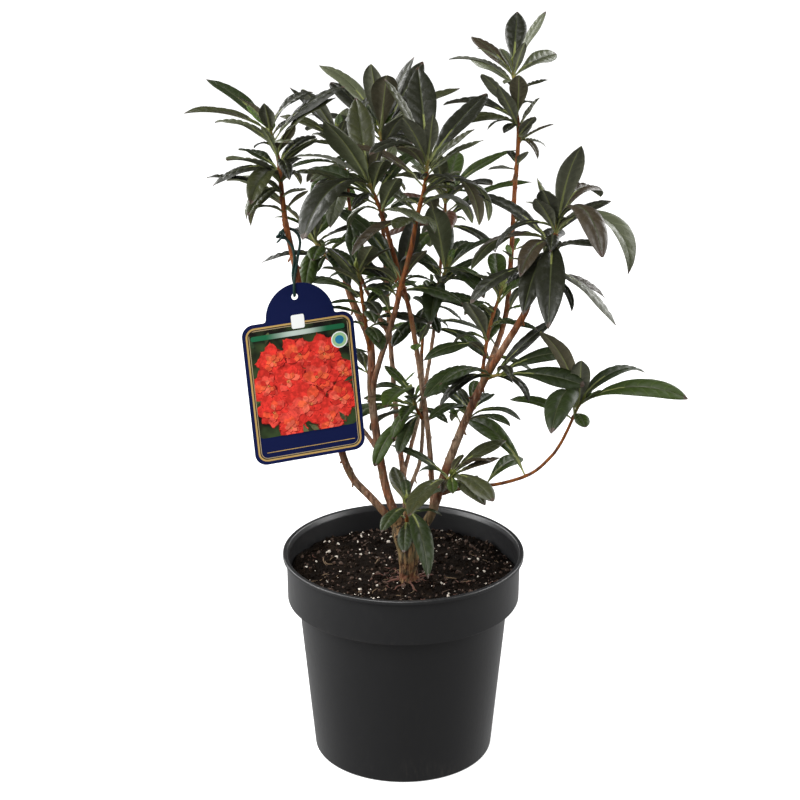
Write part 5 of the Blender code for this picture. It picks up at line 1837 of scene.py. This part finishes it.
class Print:
    """Layers of ink on the card's face, each a thin plate just above the one before."""

    def __init__(self):
        self.work, self.height, self.materials = bmesh.new(), TAG_THICKNESS / 2, []

    def ink(self, name, colour, *shading):
        """The slot of a new ink, plain or shaded towards a second tone."""
        finish = picture_finish(name, colour, *shading) if shading else card_finish(name, colour)
        return self.take(finish)

    def take(self, finish):
        self.materials.append(finish)
        return len(self.materials) - 1

    def layer(self, slot, *outlines, step=INK_STEP):
        """Prints one shape this far above the last."""
        self.height += step
        plate = filled_outline(outlines, INK_THICKNESS)
        plate.transform(Matrix.Translation((0, 0, (self.height - INK_SUNK) * MM)))
        before = len(self.work.faces)
        self.work.from_mesh(plate)
        self.work.faces.ensure_lookup_table()
        for face in self.work.faces[before:]:
            face.material_index = slot
        bpy.data.meshes.remove(plate)

    def pictured(self, slot, outline, step=BLOOM_STEP):
        """Prints a shape, cut off at the picture's edges."""
        left, bottom, right, top = PICTURE
        self.layer(slot, [(min(max(x, left + 0.1), right - 0.1), min(max(y, bottom + 0.1), top - 0.1))
                          for x, y in outline], step=step)


def petal_outline(centre, bearing, length, width, frill, rng):
    """A petal with a wavy margin, as points round it."""
    ahead = Vector((cos(bearing), sin(bearing)))
    side = Vector((-ahead.y, ahead.x))
    phase = rng.uniform(0, 6.28)
    points = []
    for k in range(PETAL_POINTS):
        t = k / PETAL_POINTS * tau
        reach = 0.5 - 0.5 * cos(t)
        half = sin(pi * reach ** 1.35) ** 1.15 if 0 < reach < 1 else 0
        wobble = 1 + frill * sin(7 * t + phase) * reach
        points.append(Vector(centre) + ahead * length * reach * wobble
                      + side * (width / 2) * half * wobble * (1 if t < pi else -1))
    return points


def build_tag(settings):
    """The card, and on it gilt borders, a plain strip, a blank tile and a made-up spray of blooms."""
    hole = circle((0, 0), TAG_HOLE_RADIUS, 48)
    board = filled_outline((card_outline(12, 48, TAG_SHOULDER), hole), TAG_THICKNESS)
    board.transform(tag_pose())
    finish = card_finish("tag_board", settings.board, 0.6, 0.05)
    add_piece("tag_board", board, [finish], "tag_card", "tag")
    rng = random.Random("blooms")
    sheet = Print()
    gilt = sheet.take(card_finish("gilding", settings.gilding, 0.4))
    pale = sheet.ink("pale_line", (0.33, 0.26, 0.15))
    shadow = sheet.ink("border_shade", (0.006, 0.005, 0.008), (0.03, 0.022, 0.02), 14)
    ground = sheet.ink("picture_ground", (0.007, 0.006, 0.005), (0.03, 0.05, 0.018), 17)
    leafy = [sheet.ink(f"print_leaf_{i}", shade(c, 0.35), c, 5) for i, c in enumerate(LEAF_INKS)]
    petal = settings.petal
    rings = [[sheet.ink(f"petal_{i}{j}", shade(c, 0.62), c, 3.5) for j, c in enumerate(tones)]
             for i, tones in enumerate((
                 (shade(petal, 0.9), shade(petal, 1.1), (0.66, 0.06, 0.042)),
                 (shade(petal, 1.2), (0.7, 0.07, 0.049), (0.72, 0.077, 0.033)),
                 ((0.75, 0.11, 0.044), (0.77, 0.13, 0.077), shade(petal, 1.1))))]
    heart = sheet.ink("bloom_heart", (0.1, 0.008, 0.006), (0.62, 0.2, 0.06), 1)
    deep = sheet.ink("bloom_shadow", (0.12, 0.005, 0.005), (0.3, 0.014, 0.01))
    green = sheet.take(strip_finish())
    white = sheet.ink("tile_white", (0.72, 0.73, 0.72))
    mint = sheet.ink("disc_mint", (0.28, 0.45, 0.24))
    teal = sheet.ink("disc_teal", (0.02, 0.17, 0.3))
    left, right = -TAG_WIDTH / 2, TAG_WIDTH / 2

    def inset_box(by, r):
        return round_box(left + by, TAG_BOTTOM + by, right - by, TAG_TOP - by, r)

    for slot, (inset, width, r) in zip((gilt, shadow, pale), BORDERS):
        sheet.layer(slot, inset_box(inset, r), inset_box(inset + width, r - width)[::-1])
    sheet.layer(ground, round_box(*PICTURE, 3))
    for x, y, bearing, long in PRINT_LEAVES:
        shape = petal_outline((x, y), radians(bearing), long, long * 0.42, 0, rng)
        sheet.pictured(rng.choice(leafy), shape, INK_STEP)
    for x, y, size in BLOOMS:
        turn = rng.uniform(0, 6.28)
        sheet.pictured(deep, circle((x, y), size * 0.8, 24))
        for inks, reach, count in zip(rings, (1.0, 0.72, 0.46), (8, 7, 6)):
            for k in range(count):
                bearing = turn + tau * (k + rng.uniform(-0.18, 0.18)) / count
                long = size * reach * rng.uniform(0.78, 1.15)
                for slot, drop in ((deep, 0.5), (rng.choice(inks), 0)):
                    spot = (x + drop / 2, y - drop)
                    sheet.pictured(slot, petal_outline(spot, bearing, long, long * 0.66, 0.05, rng))
            turn += 0.4
        sheet.pictured(heart, petal_outline((x, y), turn, size * 0.22, size * 0.16, 0, rng))
    for x, y, bearing, long in FRONT_LEAVES:
        for slot, grow in ((deep, 1.1), (rng.choice(leafy), 1)):
            shape = petal_outline((x, y), radians(bearing), long * grow, long * 0.34 * grow, 0, rng)
            sheet.pictured(slot, shape)
    foot, head = PICTURE[3] - 7.2, PICTURE[3] - 3.4
    sheet.layer(green, round_box(PICTURE[0] + 0.8, foot, PICTURE[2] - 2.2, head, 1.6, 6))
    for slot, radius in ((white, 6.3), (mint, 5.5), (teal, 3.3)):
        sheet.layer(slot, circle((right - 12.4, TAG_TOP - 20.8), radius, 45))
    sheet.layer(white, round_box(-4.8, TAG_TOP - 7.4, 5.1, TAG_TOP + 3.1, 1.4))
    sheet.layer(gilt, round_box(left + 9, TAG_BOTTOM + 9.2, right - 8, TAG_BOTTOM + 9.7, 0.2, 2))
    mesh = mesh_from(sheet.work, "tag_print")
    mesh.transform(tag_pose())
    add_piece("tag_print", mesh, sheet.materials, "tag_card")


def strip_finish():
    """Green ink that fades to near white in the middle of the strip."""
    made = Finish("strip_green", specular=0.1)
    out = made.node("ShaderNodeSeparateXYZ", inputs={0: made.place()}) - TAG_HOLE_AT[0] * MM
    pale = out.eased(-0.022, 0.0) * (1 - out.eased(0.006, 0.024))
    return made.done(made.blend(pale, (0.012, 0.105, 0.045), (0.4, 0.47, 0.42)), pale * 0.02 + 0.5)


def build_tie(settings):
    """Coated wire: through the hole, round the bough, with a twist of knot at its side."""
    sides = max(1, settings.sides // 4)
    work = bmesh.new()
    tubes = [tie_mesh(1.2, settings.thickness / MM / 2, sides)]
    tubes += [tapered_tube(smooth_line(route, 0.8), TIE_END_RADII, sides) for route in TIE_ENDS]
    for tube in tubes:
        work.from_mesh(tube)
        bpy.data.meshes.remove(tube)
    for face in work.faces:
        face.smooth = True
    paler = shade(settings.colour, 1.8)
    finish = speckled_finish("tie_coating", settings.colour, paler, 1.2, 0.5, 0.05, 0.15)
    add_piece("tie_wire", mesh_from(work, "tie_wire"), [finish], "tie", "tie")


# ---------------- stage

# Soft boxes: place and size in metres, and share of the power.
SOFT_BOXES = (
    ("box_left", (-1.2, -0.3, 0.65), (0.6, 1.2), 1.3),
    ("box_right", (1.25, -0.2, 0.65), (0.5, 1.2), 0.9),
    ("box_behind_left", (-1.05, 0.85, 0.95), (0.7, 0.8), 1.2),
    ("box_behind_right", (1.1, 0.85, 0.95), (0.7, 0.8), 1.0),
    ("box_front", (-0.6, -1.8, 1.3), (1.1, 1.1), 1.7),
)
BOX_AIM = (0, 0, 0.25)
WHITE = (1, 1, 1, 1)
CAMERA_AT = (-0.0026, -1.47, 0.827)  # metres
CAMERA_PITCH = 19.94  # degrees below the horizon
CAMERA_LENS = 91.62


def build_stage(settings):
    """Pale floor, even sky, soft boxes at both sides and the camera."""
    scene = bpy.context.scene
    work = bmesh.new()
    bmesh.ops.create_circle(work, cap_ends=True, segments=96, radius=settings.floor_radius)
    floor = linked("floor", mesh_from(work, "floor"))
    floor.location.z = -0.0004
    pale = Finish("floor_pale", specular=0.2)
    floor.data.materials.append(pale.done((0.42, 0.42, 0.42), pale.grain(40, 2) * 0.05 + 0.7,
                                          Emission_Color=WHITE, Emission_Strength=0.74))
    # Its glare would wash out the satin pot and the dark leaves.
    floor.visible_glossy = floor.visible_diffuse = False
    floor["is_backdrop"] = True

    scene.world = bpy.data.worlds.new("studio")
    scene.world.use_nodes = True
    studio = Tree(scene.world.node_tree)
    way = studio.node("ShaderNodeTexCoord", output="Generated")
    side, back, up = (studio.node("ShaderNodeSeparateXYZ", inputs={0: way}, output=axis)
                      for axis in "XYZ")
    # Below the horizon the world stands in for the floor's glare: bright behind, dim in front.
    behind = back.eased(-0.3, 1) * (1 - side.eased(0.1, 0.9) * 0.3)
    behind = behind * (0.34 + up.eased(-0.55, -0.38) * 0.14)
    below = (1 - up.eased(-0.05, 0.05)) * (behind + 0.165)
    glow = studio.node("ShaderNodeBackground", inputs={"Color": WHITE, "Strength": below + settings.sky})
    backdrop = studio.node("ShaderNodeBackground", inputs={"Color": WHITE})
    seen = studio.node("ShaderNodeLightPath", output="Is Camera Ray")
    picked = studio.node("ShaderNodeMixShader", inputs={0: seen, 1: glow, 2: backdrop})
    studio.feed(studio.tree.nodes["World Output"].inputs[0], picked)

    lamp = linked("overhead", bpy.data.lights.new("overhead", "SUN"))
    lamp.data.energy, lamp.data.angle = settings.overhead, radians(40)
    lamp.rotation_euler = (radians(28), radians(-16), 0)
    for name, place, size, power in SOFT_BOXES:
        box = linked(name, bpy.data.lights.new(name, "AREA"))
        box.data.shape, box.data.size, box.data.size_y = "RECTANGLE", *size
        box.data.energy = settings.box_power * power
        box.location = place
        box.rotation_euler = (Vector(BOX_AIM) - Vector(place)).to_track_quat("-Z", "Y").to_euler()

    scene.camera = linked("camera", bpy.data.cameras.new("camera"))
    scene.camera.data.lens, scene.camera.data.sensor_width = CAMERA_LENS, 36
    scene.camera.location = CAMERA_AT
    scene.camera.rotation_euler = (radians(90 - CAMERA_PITCH), 0, 0)
    scene.view_settings.view_transform = "Standard"


# ---------------- operators and panel

class AZALEA_OT_pot(bpy.types.Operator):
    """Turn the nursery pot with its rounded rim, nesting step and drain holes"""
    bl_idname = "azalea.pot"
    bl_label = "Pot"

    def execute(self, context):
        build_pot(context.scene.azalea_pot)
        return {"FINISHED"}


class AZALEA_OT_compost(bpy.types.Operator):
    """Fill the pot with lumpy compost, crumbs, perlite and fibres"""
    bl_idname = "azalea.compost"
    bl_label = "Compost"

    def execute(self, context):
        build_compost(context.scene.azalea_compost)
        return {"FINISHED"}


class AZALEA_OT_limbs(bpy.types.Operator):
    """Skin the trunk and its boughs with bark"""
    bl_idname = "azalea.limbs"
    bl_label = "Trunk and boughs"

    def execute(self, context):
        build_limbs(context.scene.azalea_bark)
        return {"FINISHED"}


class AZALEA_OT_twigs(bpy.types.Operator):
    """Grow the leafy stems on the boughs"""
    bl_idname = "azalea.twigs"
    bl_label = "Twigs"

    def execute(self, context):
        build_twigs(context.scene.azalea_leaf)
        return {"FINISHED"}


class AZALEA_OT_sprays(bpy.types.Operator):
    """Dress every spray with veined leaves, young leaves and a bud"""
    bl_idname = "azalea.sprays"
    bl_label = "Leafy sprays"

    def execute(self, context):
        build_sprays(context.scene.azalea_leaf)
        return {"FINISHED"}


class AZALEA_OT_sprigs(bpy.types.Operator):
    """Add short shoots with small leaves along the boughs"""
    bl_idname = "azalea.sprigs"
    bl_label = "Sprigs"

    def execute(self, context):
        build_sprigs(context.scene.azalea_leaf)
        return {"FINISHED"}


class AZALEA_OT_tag(bpy.types.Operator):
    """Cut the hang tag's card and print its face"""
    bl_idname = "azalea.tag"
    bl_label = "Hang tag"

    def execute(self, context):
        build_tag(context.scene.azalea_tag)
        return {"FINISHED"}


class AZALEA_OT_tie(bpy.types.Operator):
    """Loop the coated wire through the card and round its bough"""
    bl_idname = "azalea.tie"
    bl_label = "Tie"

    def execute(self, context):
        build_tie(context.scene.azalea_tie)
        return {"FINISHED"}


class AZALEA_OT_stage(bpy.types.Operator):
    """Set the pale floor, the soft lights and the camera"""
    bl_idname = "azalea.stage"
    bl_label = "Stage"

    def execute(self, context):
        build_stage(context.scene.azalea_stage)
        return {"FINISHED"}


OPERATORS = (AZALEA_OT_stage, AZALEA_OT_pot, AZALEA_OT_compost, AZALEA_OT_limbs, AZALEA_OT_twigs,
             AZALEA_OT_sprays, AZALEA_OT_sprigs, AZALEA_OT_tag, AZALEA_OT_tie)
SETTINGS = {"azalea_pot": PotSettings, "azalea_compost": CompostSettings, "azalea_bark": BarkSettings,
            "azalea_leaf": LeafSettings, "azalea_tag": TagSettings, "azalea_tie": TieSettings,
            "azalea_stage": StageSettings}


class AZALEA_PT_panel(bpy.types.Panel):
    """Lists the azalea's pieces and their settings"""
    bl_idname = "AZALEA_PT_panel"
    bl_label = "Azalea"
    bl_space_type = "VIEW_3D"
    bl_region_type = "UI"
    bl_category = "Azalea"

    def draw(self, context):
        for operator in OPERATORS:
            self.layout.operator(operator.bl_idname)
        for pointer, group in SETTINGS.items():
            box = self.layout.box()
            box.label(text=pointer.replace("azalea_", "").capitalize())
            for name in group.__annotations__:
                box.prop(getattr(context.scene, pointer), name)


def register():
    for made in (*SETTINGS.values(), *OPERATORS, AZALEA_PT_panel):
        bpy.utils.register_class(made)
    for pointer, group in SETTINGS.items():
        setattr(bpy.types.Scene, pointer, PointerProperty(type=group))


def unregister():
    for pointer in SETTINGS:
        delattr(bpy.types.Scene, pointer)
    for made in (AZALEA_PT_panel, *reversed(OPERATORS), *SETTINGS.values()):
        bpy.utils.unregister_class(made)


def main():
    register()
    for operator in OPERATORS:
        getattr(bpy.ops.azalea, operator.bl_idname.split(".")[1])()
    ({name: [list(corner) for corner in box]
               for name, box in (("cad", CAD_BOX), ("visual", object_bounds()))})


if __name__ == "__main__":
    main()
